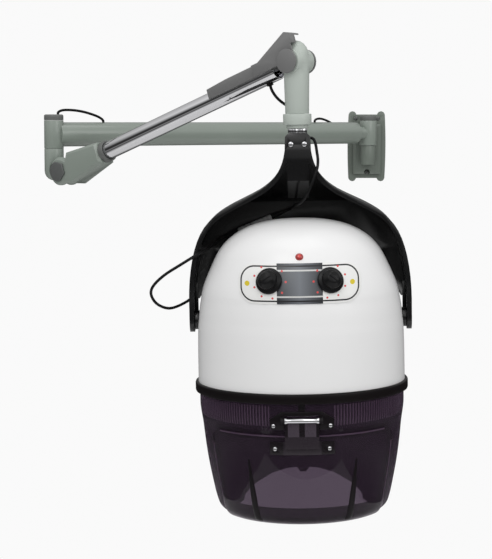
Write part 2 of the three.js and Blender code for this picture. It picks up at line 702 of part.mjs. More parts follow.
const chromeEnd = ARM_LENGTH - CHROME_SETBACK;
const headCordX = ARM_LENGTH - HEAD_CORD_SETBACK;
const chromeBore = CHROME_RADIUS - CHROME_WALL;
const cordDrop = [headCordX, 0, 0];

function chromeTube() {
  const tube = rod('x', CHROME_RADIUS, CHROME_SEAT, chromeEnd).subtract(rod('x', chromeBore, -FAR, FAR));
  return tube.subtract(rod('z', GROMMET_RADIUS - GROMMET_LIP + GAP, -FAR, 0, cordDrop, SMALL_SIDES));
}

class SpringCurve extends THREE.Curve {
  getPoint(t, target = new THREE.Vector3()) {
    const turn = 2 * Math.PI * SPRING_TURNS * t;
    const radius = chromeBore - 2 * GAP - SPRING_WIRE_RADIUS;
    return target.set(SPRING_START + SPRING_LENGTH * t, radius * Math.cos(turn), radius * Math.sin(turn));
  }
}

function balanceSpring() {
  const wire = polygon([0, 1, 2, 3, 4].map((i) => {
    const turn = degrees(72 * i);
    return [SPRING_WIRE_RADIUS * Math.cos(turn), SPRING_WIRE_RADIUS * Math.sin(turn)];
  }));
  const steps = SPRING_TURNS * SPRING_STEPS_PER_TURN;
  return solidOf(new THREE.ExtrudeGeometry(wire, { steps, extrudePath: new SpringCurve() }));
}

// A dark cap on the near cheek of the elbow: round behind and half a hexagon ahead
function pivotCap() {
  const outline = new THREE.Shape();
  outline.absarc(0, 0, PIVOT_CAP_RADIUS, degrees(90), degrees(270), false);
  for (const turn of [-30, 30]) {
    outline.lineTo(PIVOT_CAP_RADIUS * Math.cos(degrees(turn)), PIVOT_CAP_RADIUS * Math.sin(degrees(turn)));
  }
  return slab(outline, [-socketHalf - GAP - PIVOT_CAP_HEIGHT, -socketHalf - GAP], 1);
}

const pivotPin = rod('y', PIVOT_PIN_RADIUS, -socketHalf, socketHalf + GAP)
  .add(rod('y', PIN_HEAD_RADIUS, socketHalf + GAP, socketHalf + GAP + PIN_HEAD_HEIGHT));
springArm.add(mesh('arm_socket', armPaint(), armSocket()));
springArm.add(mesh('elbow_pin', steel(), pivotPin));
springArm.add(mesh('elbow_pivot_cap', greyPlastic(), pivotCap()));
springArm.add(mesh('socket_collar', greyPlastic(), ring('x', CHROME_RADIUS + COLLAR_WALL, CHROME_RADIUS + GAP,
  SOCKET_LENGTH + GAP, SOCKET_LENGTH + COLLAR_WIDTH)));
springArm.add(mesh('chrome_tube', chrome(), chromeTube()));
springArm.add(mesh('balance_spring', steel(), balanceSpring()));
const grommet = mesh('cord_grommet', blackPlastic(), turned([
  [CORD_RADIUS + CORD_PLAY, 0], [GROMMET_RADIUS - GROMMET_LIP, 0],
  [GROMMET_RADIUS - GROMMET_LIP, -CHROME_WALL - GAP], [GROMMET_RADIUS, -CHROME_WALL - GAP],
  [GROMMET_RADIUS, -CHROME_WALL - GROMMET_LIP], [CORD_RADIUS + CORD_PLAY, -CHROME_WALL - GROMMET_LIP],
], SMALL_SIDES));
grommet.position.set(headCordX, 0, -chromeBore);
springArm.add(grommet);

// The fork is drawn from the head pivot, with the arm running to negative X.
const cheekOuter = CHEEK_INSIDE + CHEEK_THICK;
const saddleTop = CHROME_RADIUS + SADDLE_SKIN;

function cheek(withTower) {
  const outline = polygon([[-CHEEK_ROOT, 0], [-CHEEK_RADIUS, 0]]);
  outline.absarc(0, 0, CHEEK_RADIUS, degrees(180), degrees(withTower ? 360 : 450), false);
  if (withTower) {
    outline.lineTo(CHEEK_RADIUS, TOWER_FOOT);
    outline.lineTo(TOWER_FRONT, TOWER_FOOT);
    outline.lineTo(TOWER_FRONT, TOWER_HEIGHT - TOWER_SLOPE_DROP);
    outline.lineTo(TOWER_FRONT - TOWER_CROWN, TOWER_HEIGHT);
  }
  outline.lineTo(-CHEEK_ROOT, saddleTop - TOWER_SLOPE_DROP);
  return outline;
}

function roof() {
  const [top, step] = [TOWER_HEIGHT, TOWER_SLOPE_DROP];
  return polygon([
    [-CHEEK_ROOT, saddleTop - step], [-CHEEK_ROOT, saddleTop - step - ROOF_THICK],
    [TOWER_FRONT - TOWER_CROWN, top - ROOF_THICK], [TOWER_FRONT, top - step - ROOF_THICK],
    [TOWER_FRONT, top - step], [TOWER_FRONT - TOWER_CROWN, top],
  ]);
}

function armFork() {
  const saddle = polygon([
    [-SADDLE_LENGTH, 0], [-SADDLE_LENGTH, saddleTop - SADDLE_LIP], [-SADDLE_STEP, saddleTop],
    [-CHROME_SETBACK + GAP, saddleTop], [-CHROME_SETBACK + GAP, 0],
  ]);
  const clamp = polygon([
    [-CHEEK_ROOT, 0], [-CHEEK_ROOT, saddleTop], [-CHROME_SETBACK + GAP, saddleTop], [-CHROME_SETBACK + GAP, 0],
  ]);
  const side = CHROME_RADIUS + SADDLE_SKIN;
  let fork = slab(saddle, [-side, side]).add(slab(clamp, [-cheekOuter, cheekOuter]));
  fork = fork.add(slab(cheek(true), [-cheekOuter, -CHEEK_INSIDE]));
  fork = fork.add(slab(cheek(false), [CHEEK_INSIDE, cheekOuter]));
  fork = fork.add(slab(roof(), [-cheekOuter, -cheekOuter + TOWER_DEPTH]));
  fork = fork.add(block([TOWER_FRONT - ROOF_THICK, TOWER_FRONT], [-cheekOuter, -cheekOuter + TOWER_SIDE_DEPTH],
    [TOWER_FOOT, TOWER_HEIGHT - TOWER_SLOPE_DROP]));
  fork = fork.subtract(rod('x', CHROME_RADIUS + GAP, -FAR, -CHROME_SETBACK + GAP));
  return fork.subtract(rod('y', HEAD_PIN_RADIUS + GAP, -FAR, FAR));
}

function headCap(name, near) {
  const face = near ? -cheekOuter - GAP - HEAD_CAP_HEIGHT : cheekOuter + GAP;
  const piece = mesh(name, greyPlastic(), rod('y', HEAD_CAP_RADIUS, face, face + HEAD_CAP_HEIGHT));
  piece.position.set(ARM_LENGTH, 0, 0);
  return piece;
}

const forkMesh = mesh('arm_fork', greyPlastic(), armFork());
forkMesh.position.set(ARM_LENGTH, 0, 0);
springArm.add(forkMesh);
const headPin = mesh('head_pin', steel(), rod('y', HEAD_PIN_RADIUS, -cheekOuter, cheekOuter));
headPin.position.set(ARM_LENGTH, 0, 0);
springArm.add(headPin);
springArm.add(headCap('head_cap_front', true));
springArm.add(headCap('head_cap_rear', false));

// Head knuckle: an upright tube with a cross barrel, a collar below it and a swivel inside
const knuckleCord = [0, 0, -KNUCKLE_CORD_DROP];
const leaning = (solid) => solidOf(geometryOf(solid).applyMatrix4(hanger.matrix));

function headKnuckle() {
  const crown = new THREE.SphereGeometry(KNUCKLE_RADIUS, SIDES, SMALL_SIDES).rotateX(Math.PI / 2);
  crown.scale(1, 1, (KNUCKLE_CROWN - KNUCKLE_CROWN_BASE) / KNUCKLE_RADIUS).translate(0, 0, KNUCKLE_CROWN_BASE);
  const upright = turned([
    [0, KNUCKLE_CROWN_BASE], [KNUCKLE_RADIUS, KNUCKLE_CROWN_BASE], [KNUCKLE_RADIUS, -KNUCKLE_BARREL_RADIUS],
    [KNUCKLE_FOOT_RADIUS, -KNUCKLE_LENGTH], [0, -KNUCKLE_LENGTH],
  ]).add(solidOf(crown));
  const half = CHEEK_INSIDE - GAP;
  let knuckle = leaning(upright).add(rod('y', KNUCKLE_BARREL_RADIUS, -half, half));
  knuckle = knuckle.subtract(rod('y', HEAD_PIN_RADIUS + GAP, -FAR, FAR));
  knuckle = knuckle.subtract(leaning(rod('z', SWIVEL_RADIUS + GAP, -FAR, -SWIVEL_BORE_TOP)));
  return knuckle.subtract(rod('y', cordHole, 0, FAR, knuckleCord, SMALL_SIDES));
}

const collarTop = -KNUCKLE_LENGTH - GAP;
const collarLow = -KNUCKLE_LENGTH - COLLAR_HEIGHT;
const neckLow = collarLow - NECK_RING_HEIGHT;
const stubLow = neckLow - GAP - STUB_HEIGHT;
head.add(mesh('head_knuckle', finish(0xacb4ac, 0.4), headKnuckle()));
hanger.add(mesh('knuckle_collar', finish(0xacb4ac, 0.4), turned([
  [SWIVEL_RADIUS + GAP, collarTop], [COLLAR_RADIUS, collarTop], [COLLAR_RADIUS, collarLow],
  [NECK_RING_RADIUS, collarLow], [NECK_RING_RADIUS, neckLow], [SWIVEL_RADIUS + GAP, neckLow],
])));
head.add(mesh('head_cord', cordRubber(), cord(HEAD_CORD_ROUTE)));

// Swivel stub: a hollow fluted neck that turns in the knuckle and is screwed into the yoke
function swivelStub() {
  const fluted = new THREE.Shape();
  for (let i = 0; i < 2 * STUB_FLUTES; i += 1) {
    const radius = i % 2 ? STUB_RADIUS - STUB_FLUTE_DEPTH : STUB_RADIUS;
    const turn = (Math.PI * i) / STUB_FLUTES;
    const [x, y] = [radius * Math.cos(turn), radius * Math.sin(turn)];
    if (i === 0) fluted.moveTo(x, y);
    else fluted.lineTo(x, y);
  }
  const neck = new THREE.ExtrudeGeometry(fluted, { depth: STUB_HEIGHT, bevelEnabled: false });
  const shaft = rod('z', SWIVEL_RADIUS, stubLow - STUB_SEAT, -SWIVEL_BORE_TOP - SWIVEL_TOP_ROOM);
  return shaft.add(solidOf(neck.translate(0, 0, stubLow))).subtract(rod('z', SWIVEL_BORE, -FAR, FAR));
}

const stub = mesh('swivel_stub', chrome(), swivelStub());
stub.position.set(0, 0, TILT_DROP);
hood.add(stub);

// Yoke: a wishbone with a pocketed front and a central column, cut to the sweep of the tilting hood
const yokeTop = TILT_DROP + stubLow - GAP;
const shellSide = radiusAt(SHELL_OUTLINE, 0).radius;
const strapInside = shellSide + HUB_STANDOFF;
const yokeHalfWidth = strapInside + STRAP_THICK;

function yokeSide() {
  const stem = [STEM_HALF_WIDTH + STEM_FLARE, yokeTop - STEM_STRAIGHT];
  const neck = [YOKE_NECK_X, YOKE_NECK_Z];
  const shoulder = [YOKE_SHOULDER_X, YOKE_SHOULDER_Z];
  const strap = [yokeHalfWidth, STRAP_TOP];
  const handle = ([x, z], [dx, dz], way) => [x + way * dx, z - way * dz];
  const side = new THREE.Path();
  side.moveTo(STEM_HALF_WIDTH, yokeTop);
  side.lineTo(...stem);
  side.bezierCurveTo(...handle(stem, STEM_HANDLE, 1), ...handle(neck, NECK_HANDLE_IN, -1), ...neck);
  const intoShoulder = handle(shoulder, SHOULDER_HANDLE_IN, -1);
  side.bezierCurveTo(...handle(neck, NECK_HANDLE_OUT, 1), ...intoShoulder, ...shoulder);
  const intoStrap = handle(strap, STRAP_HANDLE, -1);
  side.bezierCurveTo(...handle(shoulder, SHOULDER_HANDLE_OUT, 1), ...intoStrap, ...strap);
  side.lineTo(yokeHalfWidth, -EYE_END);
  return side.getPoints(9).map(({ x, y }) => [x, y]);
}

function insetSide(points, distance) {
  return points.map(([x, z], i) => {
    const before = points[Math.max(i - 1, 0)];
    const after = points[Math.min(i + 1, points.length - 1)];
    const [dx, dz] = [after[0] - before[0], after[1] - before[1]];
    const length = Math.hypot(dx, dz);
    return [x + (dz / length) * distance, z - (dx / length) * distance];
  });
}

const mirrored = (points) => [...points, ...points.map(([x, z]) => [-x, z]).reverse()];

// The side view of the yoke, as depth and height, or the same view with its back moved forward by a wall
function yokeDepth(wall) {
  const back = YOKE_BACK - wall;
  const shape = polygon([
    [-STEM_HALF_DEPTH, yokeTop], [-YOKE_FRONT, yokeTop - STEM_STRAIGHT], [-YOKE_FRONT, 3 * EYE_END],
    [-EYE_END, EYE_END],
  ]);
  shape.absarc(0, 0, EYE_END, Math.PI, 2 * Math.PI, false);
  const rest = [
    [EYE_END - wall, EYE_END], [back, YOKE_BACK_LOW], [back, YOKE_BACK_TOP],
    [STEM_HALF_DEPTH - wall, YOKE_BACK_BLEND], [STEM_HALF_DEPTH - wall, yokeTop],
  ];
  for (const [y, z] of rest) shape.lineTo(y, z);
  return shape;
}

// What the hood passes through as it tilts: the greatest reach of its shell at each distance along the axis
function tiltSweep() {
  const reach = (x) => Math.max(...SHELL_OUTLINE.flatMap(([r0, z0], i) => {
    const [r1, z1] = SHELL_OUTLINE[Math.min(i + 1, SHELL_OUTLINE.length - 1)];
    return [0, 0.25, 0.5, 0.75].map((t) => [r0 + (r1 - r0) * t, z0 + (z1 - z0) * t]);
  }).filter(([r, z]) => r >= x && z >= 0).map(([r, z]) => Math.hypot(z, Math.sqrt(r * r - x * x))), 2 * EYE_END);
  const stations = [0, 0.15, 0.3, 0.45, 0.6, 0.72, 0.82, 0.9, 0.96, 1].map((share) => share * strapInside);
  const near = stations.map((x) => [reach(x) + TILT_CLEARANCE, x]);
  const far = near.slice(1).map(([r, x]) => [r, -x]).reverse();
  const profile = [[0, -strapInside], ...far, ...near, [0, strapInside]];
  return solidOf(turnTo('x', turnedGeometry(profile, HOOD_SIDES)));
}

const yokeScrewPlaces = [['yoke_screw_left', -1], ['yoke_screw_right', 1]]
  .map(([name, side]) => [name, (side * YOKE_SCREW_SPREAD) / 2, yokeTop - YOKE_SCREW_DROP]);

function yoke() {
  const side = yokeSide();
  const outline = polygon(mirrored(side));
  let body = slab(outline, [-FAR, FAR]).intersect(crossSlab(yokeDepth(0), [-FAR, FAR]));
  const inside = insetSide(side, YOKE_RIM).filter(([, z]) => z < POCKET_TOP && z > POCKET_LOW);
  const last = inside[inside.length - 1];
  const pocketSide = [[inside[0][0], POCKET_TOP], ...inside, [last[0], POCKET_LOW]];
  const open = block([-FAR, FAR], [-FAR, 0], [POCKET_LOW, POCKET_TOP]);
  const hollow = crossSlab(yokeDepth(YOKE_WALL), [-FAR, FAR]).add(open);
  body = body.subtract(slab(polygon(mirrored(pocketSide)), [-FAR, FAR]).intersect(hollow));
  const column = polygon([
    [-YOKE_FRONT, POCKET_TOP + GAP], [-YOKE_FRONT, COLUMN_FACE_LOW], [STEM_HALF_DEPTH, COLUMN_LOW],
    [STEM_HALF_DEPTH, POCKET_TOP + GAP],
  ]);
  body = body.add(crossSlab(column, [-COLUMN_HALF_WIDTH, COLUMN_HALF_WIDTH]));
  body = body.subtract(tiltSweep());
  body = body.subtract(rod('z', SWIVEL_RADIUS + GAP, TILT_DROP + stubLow - STUB_SEAT - GAP, FAR));
  const cordExit = [0, 0, YOKE_CORD_ROUTE[0][2]];
  body = body.subtract(rod('x', CORD_RADIUS + CORD_EXIT_PLAY, 0, FAR, cordExit, SMALL_SIDES));
  for (const [, x, z] of yokeScrewPlaces) {
    body = body.subtract(rod('y', YOKE_SCREW_SHANK + GAP, -FAR, 0, [x, 0, z], SMALL_SIDES));
  }
  return body.subtract(rod('x', TILT_PIN_RADIUS + GAP, -FAR, FAR));
}

hood.add(mesh('yoke', blackPlastic(), yoke()));
for (const [name, x, z] of yokeScrewPlaces) {
  const length = YOKE_FRONT - SWIVEL_RADIUS - YOKE_SCREW_TIP_ROOM;
  const piece = screw(name, YOKE_SCREW_HEAD, YOKE_SCREW_SHANK, SCREW_HEAD_HEIGHT, length);
  piece.position.set(x, -YOKE_FRONT - GAP, z);
  piece.rotation.x = Math.PI / 2;
  hood.add(piece);
}

// Hood: shell, band, inner bowl and smoked visor
const knobPlaces = [['timer_knob', -KNOB_AZIMUTH], ['heat_knob', KNOB_AZIMUTH]]
  .map(([name, azimuth]) => [name, placeOn(SHELL_OUTLINE, azimuth, KNOB_Z, KNOB_STANDOFF)]);
const pilotPlace = placeOn(SHELL_OUTLINE, 0, PILOT_Z, GAP);
const hoodGlandPlace = placeOn(SHELL_OUTLINE, HOOD_GLAND_AZIMUTH, HOOD_GLAND_Z, GAP);
const knobHoles = knobPlaces.map(([, place]) => place);
const shellFoot = SHELL_OUTLINE[SHELL_OUTLINE.length - 1][1];

function hoodShell() {
  const dome = skin(SHELL_OUTLINE, -SHELL_WALL, 0);
  const shell = drilled(dome, knobHoles, KNOB_SHAFT_RADIUS + GAP, 2 * KNOB_SHAFT_LENGTH);
  const lit = drilled(shell, [pilotPlace], PILOT_STEM_RADIUS + GAP, KNOB_SHAFT_LENGTH);
  return drilled(lit, [hoodGlandPlace], cordHole, KNOB_SHAFT_LENGTH);
}

function hoodBand() {
  const shelfTop = shellFoot - GAP;
  const inner = SHELL_OUTLINE[SHELL_OUTLINE.length - 1][0] + GAP;
  return turned([
    [inner, BAND_TOP], [BAND_RADIUS, BAND_TOP], [BAND_RADIUS, BAND_BOTTOM], [inner, BAND_BOTTOM],
    [inner, shelfTop - SHELF_THICK], [SHELF_INNER, shelfTop - SHELF_THICK], [SHELF_INNER, shelfTop],
    [inner, shelfTop],
  ], HOOD_SIDES);
}

function innerBowl() {
  const low = BOWL_OUTLINE[BOWL_OUTLINE.length - 1][1];
  const inside = offsetOutline(BOWL_OUTLINE, -BOWL_WALL).reverse();
  const wallOuter = BOWL_OUTLINE.slice(0, -1);
  const foot = BOWL_OUTLINE[BOWL_OUTLINE.length - 1][0];
  const flange = [[foot, low + BOWL_WALL], [BOWL_FLANGE, low + BOWL_WALL], [BOWL_FLANGE, low]];
  return turned([...wallOuter, ...flange, ...inside], INNER_SIDES);
}

function neckArch() {
  const [wide] = NECK_OUTLINE[0];
  return slab(polygon(mirrored([[wide, -FAR], ...NECK_OUTLINE])), [0, FAR]);
}

const hingeScrews = [-HINGE_SCREW_AZIMUTH, HINGE_SCREW_AZIMUTH]
  .map((azimuth) => placeOn(VISOR_OUTLINE, azimuth, HINGE_SCREW_Z, HINGE_PLATE_THICK + 2 * GAP));
const leafLift = FLAP_LIFT + FLAP_WALL + GAP;
const leafScrews = [-LEAF_SCREW_AZIMUTH, LEAF_SCREW_AZIMUTH]
  .map((azimuth) => placeOn(VISOR_OUTLINE, azimuth, LEAF_SCREW_Z, leafLift + HINGE_PLATE_THICK + GAP));
const trimHole = TRIM_SCREW_SHANK + GAP;
const trimReach = 3 * HINGE_PLATE_THICK;

function visor() {
  const shell = skin(VISOR_OUTLINE, -VISOR_WALL, 0).subtract(sector(WINDOW_HALF_ANGLE, [-FAR, WINDOW_TOP]));
  return drilled(shell.subtract(neckArch()), hingeScrews, trimHole, trimReach);
}

function visorFlap() {
  const sheet = skin(VISOR_OUTLINE, FLAP_LIFT, FLAP_LIFT + FLAP_WALL);
  const flap = sheet.intersect(sector(FLAP_HALF_ANGLE, [-FAR, FLAP_TOP]));
  return drilled(flap, leafScrews, trimHole, trimReach);
}

hood.add(mesh('hood_shell', whiteGloss(), hoodShell()));
hood.add(mesh('hood_band', blackPlastic(), hoodBand()));
hood.add(mesh('inner_bowl', finish(0xc8c8c8, 0.4, 0.6), innerBowl()));
hood.add(mesh('visor', smoked(), visor()));
hood.add(mesh('visor_flap', smoked(), visorFlap()));

// Tilt hubs: discs on the sides of the shell with a pin through each eye of the yoke
function tiltHub(side) {
  const [inner, outer] = [side * (shellSide - HUB_ROOT), side * (strapInside - GAP)];
  const end = side * (yokeHalfWidth + HUB_PIN_END);
  const disc = rod('x', TILT_HUB_RADIUS, Math.min(inner, outer), Math.max(inner, outer));
  const pin = rod('x', TILT_PIN_RADIUS, Math.min(outer, end), Math.max(outer, end));
  return disc.add(pin).subtract(turned([[0, PANEL_TOP], ...offsetOutline(SHELL_OUTLINE.slice(4), GAP),
    [0, shellFoot]], HOOD_SIDES));
}

hood.add(mesh('tilt_hub_left', blackPlastic(), tiltHub(-1)));
hood.add(mesh('tilt_hub_right', blackPlastic(), tiltHub(1)));

// Visor hinge: a plate on the visor, a chrome barrel that turns in its lugs and a leaf on the flap
const hingeY = -(radiusAt(VISOR_OUTLINE, HINGE_Z).radius + HINGE_OFFSET);
const hingeAxis = [0, hingeY, HINGE_Z];
const lugInside = HINGE_BARREL_HALF + RUN;
const front = [-FAR, 0];

function hingePlate() {
  const wings = [-HINGE_PLATE_HALF, HINGE_PLATE_HALF];
  let plate = skin(VISOR_OUTLINE, GAP, GAP + HINGE_PLATE_THICK)
    .intersect(block(wings, front, [HINGE_PLATE_LOW, HINGE_PLATE_TOP]));
  plate = plate.subtract(block([-lugInside, lugInside], front, [-FAR, HINGE_PLATE_TOP - HINGE_BRIDGE]));
  for (const side of [-1, 1]) {
    const [a, b] = [side * lugInside, side * (lugInside + HINGE_LUG_WIDTH)];
    const span = [Math.min(a, b), Math.max(a, b)];
    const root = -Math.sqrt(radiusAt(VISOR_OUTLINE, HINGE_Z).radius ** 2 - lugInside ** 2) - 2 * GAP;
    plate = plate.add(rod('x', HINGE_LUG_RADIUS, ...span, hingeAxis, SMALL_SIDES));
    plate = plate.add(block(span, [hingeY, root], [HINGE_Z - HINGE_LUG_RADIUS, HINGE_Z + HINGE_LUG_RADIUS]));
  }
  plate = plate.subtract(rod('x', HINGE_JOURNAL_RADIUS + GAP, -FAR, FAR, hingeAxis, SMALL_SIDES));
  return drilled(plate, hingeScrews, trimHole, trimReach);
}

function flapBarrel() {
  const reach = lugInside + HINGE_LUG_WIDTH;
  const journal = rod('x', HINGE_JOURNAL_RADIUS, -reach, reach, hingeAxis, SMALL_SIDES);
  const half = HINGE_BARREL_HALF;
  return journal.add(rod('x', HINGE_BARREL_RADIUS, -half, half, hingeAxis, SMALL_SIDES));
}

function flapLeaf() {
  const wings = [-HINGE_PLATE_HALF, HINGE_PLATE_HALF];
  const leaf = skin(VISOR_OUTLINE, leafLift, leafLift + HINGE_PLATE_THICK)
    .intersect(block(wings, front, [LEAF_LOW, LEAF_TOP]));
  const back = -radiusAt(VISOR_OUTLINE, LEAF_TOP).radius - leafLift - GAP;
  const middle = (LEAF_TOP + LEAF_LOW) / 2;
  const across = [-HINGE_BARREL_HALF, HINGE_BARREL_HALF];
  const tongue = block(across, [back - LEAF_TONGUE_THICK, back], [middle, HINGE_Z]);
  const flush = skin(VISOR_OUTLINE, -FAR / 9, leafLift);
  const seat = rod('x', HINGE_BARREL_RADIUS + GAP, -FAR, FAR, hingeAxis, SMALL_SIDES);
  const clear = block([-FAR, FAR], front, [HINGE_Z - HINGE_BARREL_RADIUS / 2, FAR]);
  const whole = leaf.add(tongue.subtract(flush)).subtract(seat).subtract(clear);
  return drilled(whole, leafScrews, trimHole, trimReach);
}

function placedScrews(names, places) {
  places.forEach((place, i) => {
    const length = HINGE_PLATE_THICK + TRIM_SCREW_BITE;
    const piece = screw(names[i], TRIM_SCREW_HEAD, TRIM_SCREW_SHANK, TRIM_SCREW_HEAD_HEIGHT, length);
    piece.applyMatrix4(place);
    hood.add(piece);
  });
}

hood.add(mesh('hinge_plate', blackPlastic(), hingePlate()));
hood.add(mesh('flap_barrel', chrome(), flapBarrel()));
hood.add(mesh('flap_leaf', blackPlastic(), flapLeaf()));
placedScrews(['hinge_screw_left', 'hinge_screw_right'], hingeScrews);
placedScrews(['flap_screw_left', 'flap_screw_right'], leafScrews);

// Controls: a plaque that follows the dome, two pointer knobs and a pilot lens
function controlPanel() {
  const [w, corner] = [PANEL_HALF_WIDTH, PANEL_CORNER];
  const outline = new THREE.Shape();
  outline.absarc(w - corner, PANEL_TOP - corner, corner, 0, Math.PI / 2, false);
  outline.absarc(corner - w, PANEL_TOP - corner, corner, Math.PI / 2, Math.PI, false);
  outline.absarc(corner - w, PANEL_LOW + corner, corner, Math.PI, 1.5 * Math.PI, false);
  outline.absarc(w - corner, PANEL_LOW + corner, corner, 1.5 * Math.PI, 2 * Math.PI, false);
  const plaque = skin(SHELL_OUTLINE, GAP, GAP + PANEL_THICK).intersect(slab(outline, front, 0, 6));
  return drilled(plaque, knobHoles, KNOB_SHAFT_RADIUS + GAP, KNOB_SHAFT_LENGTH);
}

function knob() {
  const rim = KNOB_RADIUS - 2;
  const skirt = turned([
    [0, KNOB_SKIRT + 1], [rim, KNOB_SKIRT + 1], [KNOB_RADIUS, KNOB_SKIRT], [KNOB_RADIUS, 0],
    [KNOB_SHAFT_RADIUS, 0], [KNOB_SHAFT_RADIUS, -KNOB_SHAFT_LENGTH], [0, -KNOB_SHAFT_LENGTH],
  ]);
  const grip = polygon([
    [-rim, KNOB_SKIRT], [rim, KNOB_SKIRT], [rim - 3, KNOB_HEIGHT - 3], [rim - 7, KNOB_HEIGHT],
    [7 - rim, KNOB_HEIGHT], [3 - rim, KNOB_HEIGHT - 3],
  ]);
  return skirt.add(slab(grip, [-KNOB_GRIP_WIDTH / 2, KNOB_GRIP_WIDTH / 2], 1.5));
}

hood.add(mesh('control_panel', finish(0x55575a, 0.4), controlPanel()));
for (const [name, place] of knobPlaces) {
  const piece = mesh(name, blackPlastic(), knob());
  piece.applyMatrix4(place);
  hood.add(piece);
}
const pilot = mesh('pilot_lens', finish(0xd05048, 0.2), turned([
  [0, PILOT_DOME], [PILOT_RADIUS * 0.7, PILOT_DOME * 0.8], [PILOT_RADIUS, PILOT_DOME * 0.3], [PILOT_RADIUS, 0],
  [PILOT_STEM_RADIUS, 0], [PILOT_STEM_RADIUS, -SHELL_WALL - 2], [0, -SHELL_WALL - 2],
], SMALL_SIDES));
pilot.applyMatrix4(pilotPlace);
hood.add(pilot);

// Blower: a motor under the crown of the shell and a fan on its shaft, over a heater ring on the bowl
const motorTop = SHELL_OUTLINE[0][1] - SHELL_WALL - GAP - 1;
const motorLow = motorTop - MOTOR_BOSS_HEIGHT - MOTOR_HEIGHT;
const fanTop = motorLow - FAN_MOTOR_GAP;

function fanMotor() {
  const seat = skin(SHELL_OUTLINE, -SHELL_WALL - GAP, FAR / 9);
  const motor = rod('z', MOTOR_RADIUS, motorLow, motorTop - MOTOR_BOSS_HEIGHT)
    .add(rod('z', MOTOR_BOSS_RADIUS, motorTop - MOTOR_BOSS_HEIGHT, motorTop + SHELL_WALL));
  return motor.subtract(seat).subtract(rod('z', FAN_SHAFT_RADIUS + GAP, -FAR, motorLow + FAN_SHAFT_SEAT + GAP));
}

function fanImpeller() {
  let fan = rod('z', FAN_RADIUS, fanTop - FAN_BACK_THICK, fanTop);
  fan = fan.add(rod('z', FAN_HUB_RADIUS, fanTop - FAN_HEIGHT, fanTop));
  fan = fan.add(rod('z', FAN_SHAFT_RADIUS, fanTop, motorLow + FAN_SHAFT_SEAT));
  for (let i = 0; i < FAN_BLADES; i += 1) {
    const blade = new THREE.BoxGeometry(FAN_RADIUS - FAN_BLADE_INNER, FAN_BLADE_THICK, FAN_HEIGHT);
    blade.translate((FAN_RADIUS + FAN_BLADE_INNER) / 2 - 1, 0, fanTop - FAN_HEIGHT / 2);
    fan = fan.add(solidOf(blade.rotateZ((2 * Math.PI * i) / FAN_BLADES)));
  }
  return fan;
}

function heaterRing() {
  const loop = new THREE.TorusGeometry(HEATER_RADIUS, HEATER_TUBE, 6, INNER_SIDES);
  let heater = solidOf(loop.translate(0, 0, HEATER_Z));
  for (let i = 0; i < HEATER_LEGS; i += 1) {
    const turn = (2 * Math.PI * (i + 0.5)) / HEATER_LEGS;
    const foot = [HEATER_RADIUS * Math.cos(turn), HEATER_RADIUS * Math.sin(turn), 0];
    heater = heater.add(rod('z', HEATER_LEG_RADIUS, shellFoot + BOWL_WALL, HEATER_Z, foot, SMALL_SIDES));
  }
  return heater.subtract(turned([...offsetOutline(BOWL_OUTLINE, GAP), [0, shellFoot]], INNER_SIDES));
}

hood.add(mesh('fan_motor', steel(), fanMotor()));
hood.add(mesh('fan_impeller', finish(0x9a9a9a, 0.5, 0.3), fanImpeller()));
hood.add(mesh('heater_ring', steel(), heaterRing()));

// Yoke cord, inline connector and hood cord
const connectorStart = new THREE.Vector3(...CONNECTOR_START);
const connectorAxis = new THREE.Vector3(...CONNECTOR_END).sub(connectorStart).normalize();

function connector(name, from, bodyLength, reliefFirst) {
  const [relief, body] = [CONNECTOR_RELIEF_LENGTH, CONNECTOR_RELIEF_LENGTH + bodyLength];
  const profile = [
    [0, 0], [CORD_RADIUS + 0.6, 0], [CONNECTOR_RELIEF_RADIUS, relief], [CONNECTOR_RADIUS, relief],
    [CONNECTOR_RADIUS, body], [0, body],
  ];
  const geometry = turnedGeometry(profile, SMALL_SIDES);
  const forward = connectorAxis.clone().multiplyScalar(reliefFirst ? 1 : -1);
  geometry.applyQuaternion(new THREE.Quaternion().setFromUnitVectors(new THREE.Vector3(0, 0, 1), forward));
  return mesh(name, blackPlastic(), solidOf(geometry.translate(...from)));
}

hood.add(connector('connector_socket', CONNECTOR_START, SOCKET_BODY_LENGTH, true));
hood.add(connector('connector_plug', CONNECTOR_END, PLUG_BODY_LENGTH, false));
const beforeSocket = new THREE.Vector3(...CONNECTOR_START).addScaledVector(connectorAxis, -GAP);
const afterPlug = new THREE.Vector3(...CONNECTOR_END).addScaledVector(connectorAxis, GAP);
hood.add(mesh('yoke_cord', cordRubber(), cord([...YOKE_CORD_ROUTE, beforeSocket.toArray()])));
const intoGland = [2 * GLAND_NOSE_LENGTH, GLAND_NOSE_LENGTH - GLAND_FLANGE_HEIGHT]
  .map((reach) => new THREE.Vector3(0, 0, reach).applyMatrix4(hoodGlandPlace).toArray());
hood.add(mesh('hood_cord', cordRubber(), cord([afterPlug.toArray(), ...HOOD_CORD_ROUTE, ...intoGland])));
const hoodGland = gland('hood_gland');
hoodGland.applyMatrix4(hoodGlandPlace);
hood.add(hoodGland);

export default dryer;
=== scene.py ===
# %% [markdown]
# # A salon hood dryer on a jointed wall arm
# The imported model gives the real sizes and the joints. This lesson dresses it: it loads the frame, sets the
# camera and lights, then makes each visible piece with bmesh operators and gives it a finish made of nodes.

# %% Load the frame
import json
import math

import bmesh
import bpy
from mathutils import Matrix, Vector

